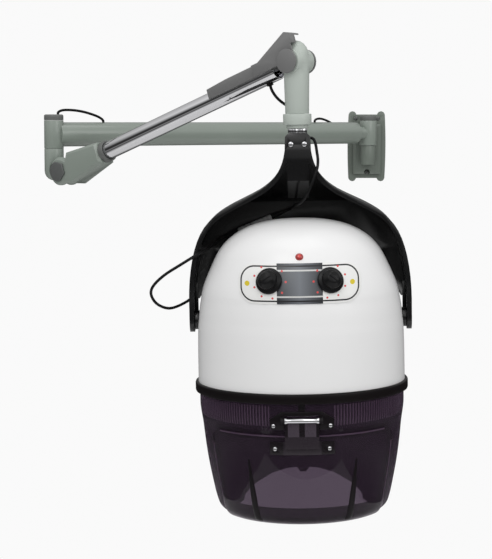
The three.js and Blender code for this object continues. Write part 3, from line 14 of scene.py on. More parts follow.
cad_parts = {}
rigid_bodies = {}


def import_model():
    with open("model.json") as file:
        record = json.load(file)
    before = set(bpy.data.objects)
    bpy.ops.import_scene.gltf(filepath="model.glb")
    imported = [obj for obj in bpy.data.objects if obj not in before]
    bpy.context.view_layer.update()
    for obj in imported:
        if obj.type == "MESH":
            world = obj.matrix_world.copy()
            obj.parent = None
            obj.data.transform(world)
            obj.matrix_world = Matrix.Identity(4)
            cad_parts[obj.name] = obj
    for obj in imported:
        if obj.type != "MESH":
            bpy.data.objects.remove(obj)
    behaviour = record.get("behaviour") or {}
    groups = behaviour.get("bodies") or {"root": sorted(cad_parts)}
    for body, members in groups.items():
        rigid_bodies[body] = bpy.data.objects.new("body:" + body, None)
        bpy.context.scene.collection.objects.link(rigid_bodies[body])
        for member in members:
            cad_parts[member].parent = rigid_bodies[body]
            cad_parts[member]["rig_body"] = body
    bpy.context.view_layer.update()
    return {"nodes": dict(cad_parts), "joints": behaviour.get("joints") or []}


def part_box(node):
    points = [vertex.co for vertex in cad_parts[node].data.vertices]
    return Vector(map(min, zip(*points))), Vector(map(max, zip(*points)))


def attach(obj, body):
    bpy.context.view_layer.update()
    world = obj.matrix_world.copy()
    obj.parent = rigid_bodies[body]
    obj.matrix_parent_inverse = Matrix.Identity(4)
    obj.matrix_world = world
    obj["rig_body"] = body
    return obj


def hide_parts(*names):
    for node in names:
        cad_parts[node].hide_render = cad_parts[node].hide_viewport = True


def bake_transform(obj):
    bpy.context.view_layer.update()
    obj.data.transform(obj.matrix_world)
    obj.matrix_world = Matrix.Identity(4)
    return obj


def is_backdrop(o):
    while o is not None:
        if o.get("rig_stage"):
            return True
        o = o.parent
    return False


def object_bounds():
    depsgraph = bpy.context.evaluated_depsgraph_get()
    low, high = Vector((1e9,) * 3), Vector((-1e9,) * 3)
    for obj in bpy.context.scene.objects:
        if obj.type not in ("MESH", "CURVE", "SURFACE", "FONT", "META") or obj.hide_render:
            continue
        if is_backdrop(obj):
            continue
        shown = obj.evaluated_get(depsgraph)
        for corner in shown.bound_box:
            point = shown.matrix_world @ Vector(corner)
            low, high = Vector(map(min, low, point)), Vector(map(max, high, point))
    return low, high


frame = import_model()
nodes = frame["nodes"]
joints = {joint["name"]: joint for joint in frame["joints"]}

# %% [markdown]
# ## Places taken from the frame
# The hood hangs on the axis of its tilt joint, leans a little with the head and is turned a little about it, so its
# pieces are drawn in millimetres about that point and moved there at the end. The joints give the other places,
# such as the knobs' axes and the visor's hinge.

# %% Places
MM = 0.001
TILT = Vector(joints["hood_tilt"]["pos_m"])
HEAD = Vector(joints["head_level"]["pos_m"])
FRONT = Vector((0, -1, 0))
UP = Vector((0, 0, 1))
HOOD_UP = Vector(joints["head_swivel"]["axis"])
HOOD_RIGHT = -Vector(joints["hood_tilt"]["axis"])
HOOD_TURN = Matrix((HOOD_RIGHT, HOOD_UP.cross(HOOD_RIGHT), HOOD_UP)).transposed()
HOOD = Matrix.Translation(TILT) @ HOOD_TURN.to_4x4()


def middle_of(node):
    low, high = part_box(node)
    return (low + high) / 2


def from_tilt(x, y, z):
    """A point given in millimetres from the hood's tilt axis, along the hood's own axes."""
    return HOOD @ (Vector((x, y, z)) * MM)


print("tilt axis at", [round(c, 3) for c in TILT])

# %% [markdown]
# ## Camera
# The photograph looks slightly down from the height of the arm. A long lens keeps the hood's sides nearly
# parallel, as they are there. The picture is taller than wide, so the sensor's 36 mm lie along its height.

# %% Camera
PICTURE_HEIGHT_PX = 559
FOCAL_PX = 1680
SENSOR_MM = 36
CAMERA_PLACE = Vector((-0.259, -3.6275, 0.0522))
CAMERA_PITCH = 5.36

camera_data = bpy.data.cameras.new("camera")
camera_data.sensor_width = SENSOR_MM
camera_data.lens = FOCAL_PX / PICTURE_HEIGHT_PX * SENSOR_MM
camera = bpy.data.objects.new("camera", camera_data)
camera.location = CAMERA_PLACE
camera.rotation_euler = (math.radians(90 - CAMERA_PITCH), 0, 0)
bpy.context.scene.collection.objects.link(camera)
bpy.context.scene.camera = camera
bpy.context.scene.view_settings.view_transform = "Standard"
print("lens", round(camera_data.lens, 1), "mm")

# %% [markdown]
# ## Light and floor
# A product photograph on white is lit by a bright, even room and a few large soft boxes. The world gives the
# even part: the camera and what looks through the visor see plain white, soft light comes mostly from the front and
# above, and reflections see a room with a dark strip at eye height, so that chrome has something to show. The floor
# is a pale plate under the hood.

# %% Light and floor
world = bpy.data.worlds.new("studio")
bpy.context.scene.world = world
world.use_nodes = True
sky = world.node_tree
sky.nodes.clear()
sky_out = sky.nodes.new("ShaderNodeOutputWorld")
sky_mix = sky.nodes.new("ShaderNodeMixShader")
sky_seen = sky.nodes.new("ShaderNodeBackground")
sky_felt = sky.nodes.new("ShaderNodeBackground")
sky_path = sky.nodes.new("ShaderNodeLightPath")
sky_place = sky.nodes.new("ShaderNodeTexCoord")
sky_split = sky.nodes.new("ShaderNodeSeparateXYZ")
sky_map = sky.nodes.new("ShaderNodeMapRange")
BACKDROP = 0.955
FRONT_STRENGTH, BACK_STRENGTH = 1.12, 0.42
sky_seen.inputs["Color"].default_value = (BACKDROP, BACKDROP, BACKDROP, 1)
sky_map.inputs["From Min"].default_value = -1
ROOM = ((0.0, 0.24), (0.4, 0.5), (0.5, 0.84), (0.62, 0.88), (0.8, 0.76), (1.0, 0.88))
STREAKS = ((0.0, 0.5), (0.14, 0.95), (0.22, 0.3), (0.27, 0.06), (0.33, 0.32), (0.38, 0.04), (0.5, 0.05), (0.55, 0.3),
           (0.6, 0.5), (0.68, 0.95), (0.86, 0.9), (1.0, 0.7))


def height_ramp(greys):
    """A grey that changes with the height a ray looks at, from straight down to straight up."""
    ramp = sky.nodes.new("ShaderNodeValToRGB")
    for place, grey in greys:
        stops = ramp.color_ramp.elements
        stop = stops.new(place) if 0 < place < 1 else stops[-1 if place else 0]
        stop.color = (grey, grey, grey, 1)
    sky.links.new(sky_map.outputs[0], ramp.inputs[0])
    return ramp.outputs[0]


sky_front = sky.nodes.new("ShaderNodeMapRange")
sky_front.inputs["From Min"].default_value = -1
sky_front.inputs["To Min"].default_value = FRONT_STRENGTH
sky_front.inputs["To Max"].default_value = BACK_STRENGTH
sky_kind = sky.nodes.new("ShaderNodeMix")
sky_kind.data_type = "RGBA"
sky.links.new(sky_place.outputs["Generated"], sky_split.inputs[0])
sky.links.new(sky_split.outputs["Z"], sky_map.inputs["Value"])
sky.links.new(sky_split.outputs["Y"], sky_front.inputs["Value"])
sky.links.new(sky_path.outputs["Is Glossy Ray"], sky_kind.inputs[0])
sky.links.new(height_ramp(ROOM), sky_kind.inputs[6])
sky.links.new(height_ramp(STREAKS), sky_kind.inputs[7])
sky.links.new(sky_kind.outputs[2], sky_felt.inputs["Color"])
sky.links.new(sky_front.outputs[0], sky_felt.inputs["Strength"])
sky_plain = sky.nodes.new("ShaderNodeMath")
sky_plain.operation = "MAXIMUM"
sky.links.new(sky_path.outputs["Is Camera Ray"], sky_plain.inputs[0])
sky.links.new(sky_path.outputs["Is Transmission Ray"], sky_plain.inputs[1])
sky.links.new(sky_plain.outputs[0], sky_mix.inputs[0])
sky.links.new(sky_felt.outputs[0], sky_mix.inputs[1])
sky.links.new(sky_seen.outputs[0], sky_mix.inputs[2])
sky.links.new(sky_mix.outputs[0], sky_out.inputs[0])


def soft_box(name, place, aim, size, power):
    """A square area light that faces the point it is aimed at."""
    data = bpy.data.lights.new(name, "AREA")
    data.size = size
    data.energy = power
    light = bpy.data.objects.new(name, data)
    light.location = place
    light.rotation_euler = (Vector(aim) - Vector(place)).to_track_quat("-Z", "Y").to_euler()
    bpy.context.scene.collection.objects.link(light)


soft_box("key_light", (-1.3, -2.9, 2.2), TILT, 1.6, 18)
soft_box("fill_light", (1.6, -2.6, 0.9), TILT, 1.4, 9.5)
soft_box("top_light", (-0.3, -0.7, 2.6), TILT, 1.8, 12)

FLOOR_DROP = 1.3
FLOOR_HALF = 1.4
floor_shape = bmesh.new()
bmesh.ops.create_grid(floor_shape, x_segments=1, y_segments=1, size=FLOOR_HALF)
bmesh.ops.translate(floor_shape, verts=floor_shape.verts, vec=(TILT.x, -0.9, -FLOOR_DROP))
floor_mesh = bpy.data.meshes.new("floor")
floor_shape.to_mesh(floor_mesh)
floor_shape.free()
floor = bpy.data.objects.new("floor", floor_mesh)
bpy.context.scene.collection.objects.link(floor)
floor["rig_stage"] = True
print("lights:", len(bpy.data.lights))

# %% [markdown]
# ## Shader maths as Python
# A finish is a small sum of noises, rings and masks. One class wraps a socket so that sums read as Python, and
# another builds the material and adds any node by its type.


# %% Shader helpers
class Flow:
    """A value in a shader. Arithmetic on it adds Math nodes."""

    def __init__(self, finish, socket):
        self.finish = finish
        self.socket = socket

    def math(self, operation, *others):
        return self.finish.node("ShaderNodeMath", {"operation": operation}, [self, *others])

    def __add__(self, other):
        return self.math("ADD", other)

    __radd__ = __add__

    def __sub__(self, other):
        return self.math("SUBTRACT", other)

    def __rsub__(self, other):
        return self.finish.node("ShaderNodeMath", {"operation": "SUBTRACT"}, [other, self])

    def __mul__(self, other):
        return self.math("MULTIPLY", other)

    __rmul__ = __mul__

    def __truediv__(self, other):
        return self.math("DIVIDE", other)

    def __neg__(self):
        return self.math("MULTIPLY", -1.0)

    def __abs__(self):
        return self.math("ABSOLUTE")

    def below(self, limit):
        return self.math("LESS_THAN", limit)

    def largest(self, other):
        return self.math("MAXIMUM", other)

    def root(self):
        return self.math("SQRT")


class Finish:
    """A material that is built node by node."""

    def __init__(self, name):
        self.material = bpy.data.materials.new(name)
        self.material.use_nodes = True
        self.tree = self.material.node_tree
        self.shader = self.tree.nodes["Principled BSDF"]

    def node(self, kind, settings=None, inputs=(), output=0):
        made = self.tree.nodes.new(kind)
        for key, value in (settings or {}).items():
            if key == "stops":
                ramp = made.color_ramp.elements
                for i, (place, colour) in enumerate(value):
                    stop = ramp[i] if i < 2 else ramp.new(place)
                    stop.position = place
                    stop.color = (*colour, 1)
            else:
                setattr(made, key, value)
        pairs = inputs.items() if isinstance(inputs, dict) else enumerate(inputs)
        for key, value in pairs:
            self.plug(made.inputs[key], value)
        return Flow(self, made.outputs[output])

    def plug(self, socket, value):
        if isinstance(value, Flow):
            self.tree.links.new(value.socket, socket)
        else:
            socket.default_value = value

    def set(self, **values):
        for key, value in values.items():
            self.plug(self.shader.inputs[key.replace("_", " ")], value)
        return self

    def place(self):
        return self.node("ShaderNodeTexCoord", output="Object")

    def axes(self, centre=(0, 0, 0)):
        moved = self.node("ShaderNodeVectorMath", {"operation": "SUBTRACT"}, [self.place(), centre])
        split = self.node("ShaderNodeSeparateXYZ", None, [moved])
        return [Flow(self, split.socket.node.outputs[axis]) for axis in "XYZ"]

    def noise(self, scale, detail=3.0, rough=0.5):
        return self.node("ShaderNodeTexNoise", None, {"Vector": self.place(), "Scale": scale, "Detail": detail,
                                                      "Roughness": rough})

    def between(self, mask, first, second):
        """A colour that goes from the first to the second with the mask."""
        colours = {6: first, 7: second}
        inputs = {0: mask}
        for key, value in colours.items():
            inputs[key] = value if isinstance(value, Flow) else (*value, 1)
        return self.node("ShaderNodeMix", {"data_type": "RGBA"}, inputs, output=2)

    def bump(self, height, strength, distance):
        return self.node("ShaderNodeBump", None, {"Strength": strength, "Distance": distance, "Height": height})


def linear(red, green, blue):
    """A colour picked from a screen, as the shader's own light values."""
    return tuple((c / 255 / 12.92) if c <= 10 else ((c / 255 + 0.055) / 1.055) ** 2.4 for c in (red, green, blue))


def shaded(colour, share):
    return tuple(c * share for c in colour)


# %% [markdown]
# ## Finishes
# Paint, moulded plastic, chrome and rubber differ in gloss and in the grain that shows close up. Each gets a
# little change of tone from a broad noise, a change of gloss from a middle one and a fine bump.


# %% Finishes
def painted(name, colour, rough, grain, depth, metal=0.0, coat=0.0, tone=0.06, shine=0.5):
    finish = Finish(name)
    cloud = finish.noise(9.0, 4.0)
    speck = finish.noise(grain, 2.0)
    finish.set(Base_Color=finish.between(cloud, shaded(colour, 1 - tone), shaded(colour, 1 + tone)),
               Roughness=speck * (0.3 * rough) + 0.85 * rough, Metallic=metal, Coat_Weight=coat,
               Specular_IOR_Level=shine,
               Normal=finish.bump(speck, depth, 0.0004))
    return finish.material


ARM_GREY = linear(138, 147, 139)
# Painted light: the knuckle's grey is the arm's paint made lighter, for the knuckle standing nearer the lights.
LIT_KNUCKLE_GREY = linear(184, 192, 185)
DARK_GREY = linear(118, 118, 118)
arm_paint = painted("arm_paint", ARM_GREY, 0.3, 420.0, 0.04, coat=0.3)
knuckle_lit_paint = painted("knuckle_lit_paint", LIT_KNUCKLE_GREY, 0.38, 420.0, 0.05)
# Painted shade: the wall plate's grey is the arm's paint made darker.
plate_shaded_paint = painted("plate_shaded_paint", linear(114, 122, 114), 0.35, 420.0, 0.05)
dark_casting = painted("dark_casting", DARK_GREY, 0.4, 700.0, 0.08)
cap_grey = painted("cap_grey", linear(104, 106, 104), 0.45, 900.0, 0.08)
pivot_grey = painted("pivot_grey", linear(90, 92, 91), 0.4, 900.0, 0.08)
connector_grey = painted("connector_grey", linear(132, 132, 132), 0.5, 900.0, 0.08)
yoke_black = painted("yoke_black", linear(12, 12, 13), 0.24, 900.0, 0.03, tone=0.15, shine=0.6)
band_black = painted("band_black", linear(19, 15, 16), 0.36, 800.0, 0.05, tone=0.1, shine=0.15)
hinge_black = painted("hinge_black", linear(20, 16, 19), 0.3, 900.0, 0.06, tone=0.1, shine=0.2)
knob_black = painted("knob_black", linear(22, 22, 23), 0.3, 1200.0, 0.05, tone=0.1, shine=0.2)
cord_black = painted("cord_black", linear(20, 20, 21), 0.42, 1500.0, 0.12, tone=0.15, shine=0.15)
chrome = painted("chrome", (0.82, 0.82, 0.84), 0.04, 260.0, 0.01, metal=1.0, tone=0.02)
steel = painted("steel", (0.55, 0.55, 0.55), 0.3, 900.0, 0.05, metal=1.0)
screw_plate = painted("screw_plate", (0.74, 0.74, 0.76), 0.2, 900.0, 0.03, metal=1.0)
bowl_metal = painted("bowl_metal", (0.5, 0.5, 0.5), 0.35, 300.0, 0.04, metal=0.8)
shell_white = painted("shell_white", (0.87, 0.87, 0.87), 0.32, 160.0, 0.01, coat=0.12, tone=0.012)
pale_floor = painted("pale_floor", (0.8, 0.8, 0.8), 0.7, 60.0, 0.05)
floor_mesh.materials.append(pale_floor)
print("paints:", len(bpy.data.materials))

# %% [markdown]
# ## Smoked plastic
# The visor and its flap are clear plastic that darkens at each wall, with a little haze mixed in. More haze is mixed
# in as painted highlights along the crests of the flutes and the edges of the flap, and a painted shadow darkens the
# visor's step above the flap. These lines are found from a surface's place in the hood's own axes, as its turn about
# the upright axis and its height.


# %% Smoked plastic
def hood_axes(finish):
    """A place on a surface in the hood's own axes, in metres from its tilt axis."""
    x, y, z = finish.axes(tuple(TILT))
    return [x * axis.x + y * axis.y + z * axis.z for axis in HOOD_TURN.col]


FLUTES = 200
FLUTE_LOW, FLUTE_HIGH = -152, -119
FLUTES_FROM = 17
FLAP_ANGLE, FLAP_TOP = 61, -166
# Bands of the painted shadow above the flap and of the painted highlight along its edges.
FLAP_STEP, FLAP_STEP_HALF = 4, 3
FLAP_EDGE, FLAP_EDGE_HALF = 1.6, 1.2
FLAP_CORNER = 26
SMOKE_TINT = (0.075, 0.056, 0.08)
SMOKE_HAZE = (0.2, 0.125, 0.205)
HAZE_SHARE = 0.062
HIGHLIGHT_SHARE = 0.25


def smoked_plastic(name, light, dark):
    """Clear plastic that darkens what is behind it at each wall, with a little haze, painted highlights along pale
    lines and painted shade along dark lines.
    """
    finish = Finish(name)
    cloud = finish.noise(6.0, 2.0)
    x, y, z = hood_axes(finish)
    turn = x.math("ARCTAN2", -y)
    clear = finish.between(cloud, shaded(SMOKE_TINT, 0.96), shaded(SMOKE_TINT, 1.04))
    # Painted shade: the tint is darkened along the dark lines.
    finish.set(Base_Color=finish.between(dark(turn, z), clear, shaded(SMOKE_TINT, 0.3)),
               Roughness=cloud * 0.03 + 0.03, IOR=1.3, Transmission_Weight=1.0)
    haze = finish.tree.nodes.new("ShaderNodeBsdfPrincipled")
    haze.inputs["Base Color"].default_value = (*SMOKE_HAZE, 1)
    haze.inputs["Roughness"].default_value = 0.3
    blend = finish.tree.nodes.new("ShaderNodeMixShader")
    # Painted highlights: more haze is mixed in along the pale lines.
    finish.plug(blend.inputs[0], cloud * (0.3 * HAZE_SHARE) + 0.85 * HAZE_SHARE + light(turn, z) * HIGHLIGHT_SHARE)
    finish.tree.links.new(finish.shader.outputs[0], blend.inputs[1])
    finish.tree.links.new(haze.outputs[0], blend.inputs[2])
    finish.tree.links.new(blend.outputs[0], finish.tree.nodes["Material Output"].inputs[0])
    return finish.material


def near(value, middle, reach):
    return abs(value - middle).below(reach)


def flute_highlights(turn, z):
    """Painted highlights on the crests of the flutes, all round but for the hinge's place."""
    wave = (turn * FLUTES).math("COSINE") * 0.5 + 0.5
    fluted = near(z, (FLUTE_LOW + FLUTE_HIGH) / 2 * MM, (FLUTE_HIGH - FLUTE_LOW) / 2 * MM)
    return wave * wave * fluted * (1.0 - abs(turn).below(math.radians(FLUTES_FROM)))


def flap_shadow(turn, z):
    """Painted shadow on the visor's step above the flap."""
    return near(z, (FLAP_TOP + FLAP_STEP) * MM, FLAP_STEP_HALF * MM) * abs(turn).below(math.radians(FLAP_ANGLE - 4))


def flap_edge_highlights(turn, z):
    """Painted highlights along the flap's top and side edges."""
    top = near(z, (FLAP_TOP - FLAP_EDGE) * MM, FLAP_EDGE_HALF * MM) * abs(turn).below(math.radians(FLAP_ANGLE - 9))
    side = near(abs(turn), math.radians(FLAP_ANGLE - 0.7), 0.009) * z.below((FLAP_TOP - FLAP_CORNER + 2) * MM)
    return top.largest(side)


def no_lines(turn, z):
    return turn * 0.0


visor_smoke = smoked_plastic("visor_smoke", flute_highlights, flap_shadow)
flap_smoke = smoked_plastic("flap_smoke", flap_edge_highlights, no_lines)
print("smoked finishes:", visor_smoke.name, flap_smoke.name)

# %% [markdown]
# ## Hinge leaf and pilot lens
# Two small mouldings have zones of colour: the leaf has dark ribs and dark pads at its screws, and the lens goes from
# a pale middle to a dark rim.

# %% Hinge leaf and lens
TONGUE_LOW = -167
MIDDLE_RIB, SIDE_RIB, SIDE_RIB_HALF = 4.4, 24.7, 2.5
PAD_FROM = 30
LENS_PALE, LENS_RED = 3.4, 5.1


def leaf_plastic():
    """The hinge's leaf: smoked grey with dark ribs in its tongue and dark pads at its screws."""
    finish = Finish("leaf_plastic")
    x, _, z = hood_axes(finish)
    across = abs(x)
    tongue = 1.0 - z.below(TONGUE_LOW * MM)
    ribs = (across.below(MIDDLE_RIB * MM) + near(across, SIDE_RIB * MM, SIDE_RIB_HALF * MM)) * tongue
    pads = 1.0 - across.below(PAD_FROM * MM)
    grey = finish.between(tongue, linear(42, 35, 42), linear(68, 60, 69))
    grey = finish.between(ribs.largest(pads), grey, linear(22, 16, 21))
    speck = finish.noise(900.0)
    finish.set(Base_Color=grey, Roughness=speck * 0.1 + 0.22, Specular_IOR_Level=0.35)
    return finish.material


leaf_smoke = leaf_plastic()


def red_lens():
    """A red lens that is pale in its middle and dark at its rim."""
    finish = Finish("red_lens")
    speck = finish.noise(300.0)
    x, y, z = finish.axes(tuple(middle_of("pilot_lens")))
    out = (x * x + y * y + z * z).root()
    glow = finish.between(out.below(LENS_PALE * MM), linear(206, 56, 50), linear(232, 138, 126))
    glow = finish.between(out.below(LENS_RED * MM), linear(140, 34, 32), glow)
    finish.set(Base_Color=glow, Roughness=speck * 0.05 + 0.12, Coat_Weight=0.5,
               Emission_Color=(*linear(214, 84, 76), 1), Emission_Strength=0.12)
    return finish.material


lens_red = red_lens()
print("finishes:", len(bpy.data.materials))

# %% [markdown]
# ## From a bmesh to a piece
# Every new piece ends the same way: doubles are merged, faces turned outwards and shaded smooth up to a corner's
# angle, then the mesh rides on its body and stands for its solid.


# %% Piece helpers
SMOOTH_ANGLE = 48


def smooth_faces(shape, angle=SMOOTH_ANGLE):
    for face in shape.faces:
        face.smooth = True
    for edge in shape.edges:
        edge.smooth = not (len(edge.link_faces) == 2 and edge.calc_face_angle(0) > math.radians(angle))


def piece_of(shape, name, body, material, stands_for=(), recalc=True, angle=SMOOTH_ANGLE, ride=True):
    bmesh.ops.remove_doubles(shape, verts=shape.verts, dist=1e-6)
    if recalc:
        bmesh.ops.recalc_face_normals(shape, faces=shape.faces)
    smooth_faces(shape, angle)
    mesh = bpy.data.meshes.new(name)
    shape.to_mesh(mesh)
    shape.free()
    mesh.materials.append(material)
    piece = bpy.data.objects.new(name, mesh)
    bpy.context.scene.collection.objects.link(piece)
    if ride:
        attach(piece, body)
    if stands_for:
        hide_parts(*stands_for)
    return piece


def spun(shape, profile, steps=96):
    """Turns an outline of (radius, height) in millimetres about the upright axis. A closed one repeats no point."""
    closed = profile[0][0] > 0 or profile[-1][0] > 0
    verts = [shape.verts.new((r * MM, 0, z * MM)) for r, z in profile]
    edges = [shape.edges.new(pair) for pair in zip(verts, verts[1:])]
    if closed:
        edges.append(shape.edges.new((verts[-1], verts[0])))
    bmesh.ops.spin(shape, geom=verts + edges, cent=(0, 0, 0), axis=(0, 0, 1), angle=2 * math.pi, steps=steps,
                   use_merge=True)
    bmesh.ops.remove_doubles(shape, verts=shape.verts, dist=1e-7)
    bmesh.ops.recalc_face_normals(shape, faces=shape.faces)


def turned_to(shape, place, direction, roll=0.0):
    """Moves a shape drawn about +Z so that it stands at a place and points along a direction."""
    spin = Vector(direction).to_track_quat("Z", "Y").to_matrix().to_4x4() @ Matrix.Rotation(roll, 4, "Z")
    bmesh.ops.transform(shape, matrix=Matrix.Translation(place) @ spin, verts=shape.verts)


def flowing(points, per_span=4):
    """A smooth curve through points, as a centripetal spline. It works in two or three dimensions."""
    stations = [Vector(p) for p in points]
    ends = [2 * stations[0] - stations[1], *stations, 2 * stations[-1] - stations[-2]]
    path = []
    for p0, p1, p2, p3 in zip(ends, ends[1:], ends[2:], ends[3:]):
        t = [0.0]
        for a, b in ((p0, p1), (p1, p2), (p2, p3)):
            t.append(t[-1] + max((b - a).length, 1e-9) ** 0.5)
        for i in range(per_span):
            u = t[1] + (t[2] - t[1]) * i / per_span
            a1 = p0 * ((t[1] - u) / (t[1] - t[0])) + p1 * ((u - t[0]) / (t[1] - t[0]))
            a2 = p1 * ((t[2] - u) / (t[2] - t[1])) + p2 * ((u - t[1]) / (t[2] - t[1]))
            a3 = p2 * ((t[3] - u) / (t[3] - t[2])) + p3 * ((u - t[2]) / (t[3] - t[2]))
            b1 = a1 * ((t[2] - u) / (t[2] - t[0])) + a2 * ((u - t[0]) / (t[2] - t[0]))
            b2 = a2 * ((t[3] - u) / (t[3] - t[1])) + a3 * ((u - t[1]) / (t[3] - t[1]))
            path.append(b1 * ((t[2] - u) / (t[2] - t[1])) + b2 * ((u - t[1]) / (t[2] - t[1])))
    return [*path, stations[-1]]


# %% [markdown]
# ## Cords
# Five lengths of black flex carry the supply along the arm. Each is a tube along a drawn route: a curve with a round
# bevel gives it, and it is made a mesh. A cord that crosses a joint rides on no body.

# %% Cords
CORD_RADIUS = 2.4 * MM
ELBOW_FRAME = Matrix.Translation(joints["wall_hinge"]["pos_m"]) @ Matrix.Rotation(math.radians(216.5), 4, "Z")
ARM_REACH = 765
ELBOW_ROUTE = [(9.5, 35), (9.5, 40.5), (17, 44.3), (35, 45.2), (58, 43), (82, 37.5), (100, 31), (107, 25.5),
               (107, 20.5)]
SUPPLY_ROUTE = [(-116.6, -134.2, 49), (-116.6, -134.2, 55), (-106, -118.5, 59), (-84, -88, 52), (-68, -60, 40),
                (-60, -34, 34), (-52, -20, 33), (-46.5, -18.5, 33), (-40.6, -18.5, 33)]
HEAD_ROUTE = [(-54.3, 0, -38.4), (-51.6, 0.4, -45.5), (-44, 4, -58), (-33, 14, -70), (-20, 26, -77), (-6, 32, -75),
              (0, 27.5, -72), (0, 19, -72)]
YOKE_ROUTE = [(19.5, 0, 297), (22.5, 0, 297), (26, -1.6, 295), (29, -7, 288), (31, -17, 275), (32.5, -27, 262),
              (31.5, -33, 250), (27, -37, 236), (17, -37, 212), (8, -28, 197), (-1, -8, 189), (-5, 30, 187),
              (-8, 57, 182.5), (-13, 69, 178.6), (-20, 72, 175.3), (-28, 72, 172)]
HOOD_ROUTE = [(-121.4, 72, 133.7), (-129.4, 72, 130.4), (-137, 66, 126.6), (-144, 44, 122), (-151, 8, 118),
              (-167, -34, 111), (-193, -44, 96), (-222, -44, 78), (-240.5, -36, 60), (-245, -26, 47), (-238, -8, 29),
              (-219, 14, 18), (-196, 38, 23.5), (-177, 64, 35), (-157, 98, 52), (-143, 120, 66),
              (-126.9, 126.9, 74.4), (-117, 117, 69.3)]
HEAD_YAW = Matrix.Rotation(math.radians(-39.3), 3, "Z")


def flex(name, path):
    """A round tube along a path, as a mesh."""
    curve = bpy.data.curves.new(name + "_line", "CURVE")
    curve.dimensions = "3D"
    curve.bevel_depth = CORD_RADIUS
    curve.bevel_resolution = 4
    curve.use_fill_caps = True
    line = curve.splines.new("POLY")
    line.points.add(len(path) - 1)
    for point, place in zip(line.points, path):
        point.co = (*place, 1)
    guide = bpy.data.objects.new(name + "_line", curve)
    bpy.context.scene.collection.objects.link(guide)
    bpy.context.view_layer.update()
    mesh = bpy.data.meshes.new_from_object(guide.evaluated_get(bpy.context.evaluated_depsgraph_get()))
    bpy.data.objects.remove(guide)
    shape = bmesh.new()
    shape.from_mesh(mesh)
    bpy.data.meshes.remove(mesh)
    return shape


def lay_cord(name, path, node, body=None, across=None):
    piece = piece_of(flex(name, path), name, body, cord_black, (node,), ride=across is None)
    if across:
        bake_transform(piece)
    run = sum((b - a).length for a, b in zip(path, path[1:]))
    print(name, "runs", round(run, 3), "m")
    return piece


elbow_path = flowing([ELBOW_FRAME @ (Vector((ARM_REACH - x, 0, z)) * MM) for x, z in ELBOW_ROUTE])
supply_path = flowing([Vector(p) * MM for p in SUPPLY_ROUTE])
head_path = flowing([HEAD + HEAD_YAW @ (Vector(p) * MM) for p in HEAD_ROUTE])
yoke_path = flowing([from_tilt(*p) for p in YOKE_ROUTE])
hood_path = flowing([from_tilt(*p) for p in HOOD_ROUTE])

# %% [markdown]
# ## Inline connector
# The hood unplugs from the arm at a small round connector. Its two halves are turned bodies with a ribbed strain
# relief, so the outline of each is drawn once with a loop for the ribs and spun.

# %% Connector
RIBS = 7
RELIEF = 20.0
CONNECTOR_LINE = (from_tilt(*HOOD_ROUTE[0]) - from_tilt(*YOKE_ROUTE[-1])).normalized()


def connector_half(name, node, start, direction, body_length, grip):
    radius, top = 5.2, RELIEF + body_length
    outline = [(0, RELIEF), (radius - 0.8, RELIEF), (radius, RELIEF + 0.9)]
    for i in range(grip):
        low = RELIEF + body_length * (0.2 + 0.6 * i / grip)
        outline += [(radius, low), (radius - 0.5, low + 0.5), (radius - 0.5, low + 1.5), (radius, low + 2)]
    outline += [(radius, top - 0.6), (radius - 0.6, top), (0, top)]
    sleeve = [(0, 0), (3, 0)]
    for i in range(RIBS):
        foot, wide = 0.6 + i * (RELIEF - 1) / RIBS, 3 + 0.2 * i
        sleeve += [(wide, foot), (wide + 0.8, foot + 0.4), (wide + 0.8, foot + 1.7), (wide, foot + 2.1)]
    sleeve += [(4, RELIEF - 0.1), (0, RELIEF - 0.1)]
    made = []
    halves = ((outline, name, connector_grey, (node,)), (sleeve, name + "_relief", cord_black, ()))
    for line, title, finish, stands_for in halves:
        shape = bmesh.new()
        spun(shape, line, 32)
        turned_to(shape, start, direction)
        made.append(piece_of(shape, title, "yoke_assembly", finish, stands_for))
    return made


socket_half = connector_half("socket_half", "connector_socket", from_tilt(*YOKE_ROUTE[-1]), CONNECTOR_LINE, 37, 3)
plug_half = connector_half("plug_half", "connector_plug", from_tilt(*HOOD_ROUTE[0]), -CONNECTOR_LINE, 23, 2)
lay_cord("elbow_flex", elbow_path, "elbow_cord", body="primary_arm")
lay_cord("supply_flex", supply_path, "supply_cord", across=("primary_arm", "wall_bracket"))
lay_cord("head_flex", head_path, "head_cord", across=("spring_arm", "head"))
lay_cord("yoke_flex", yoke_path, "yoke_cord", body="yoke_assembly")
lay_cord("hood_flex", hood_path, "hood_cord", across=("yoke_assembly", "hood"))

# %% [markdown]
# ## Castings, tubes and pins
# The arm's castings already have their real shape in the frame. A casting never has knife edges, so each solid is
# copied, its flat faces are joined, and its sharp edges get a small rounded bevel that catches the light.


# %% Castings
TRIMS = {
    "hinge_plate": [((0, 0, -127), (0, 0, 1)), ((31, 0, -127), (13, 0, 19)), ((-31, 0, -127), (-13, 0, 19)),
                    ((52, 0, -152), (12, 0, -13)), ((-52, 0, -152), (-12, 0, -13))],
    "yoke": [((15.5, 0, 305), (1, 0, 1)), ((-15.5, 0, 305), (-1, 0, 1))],
}


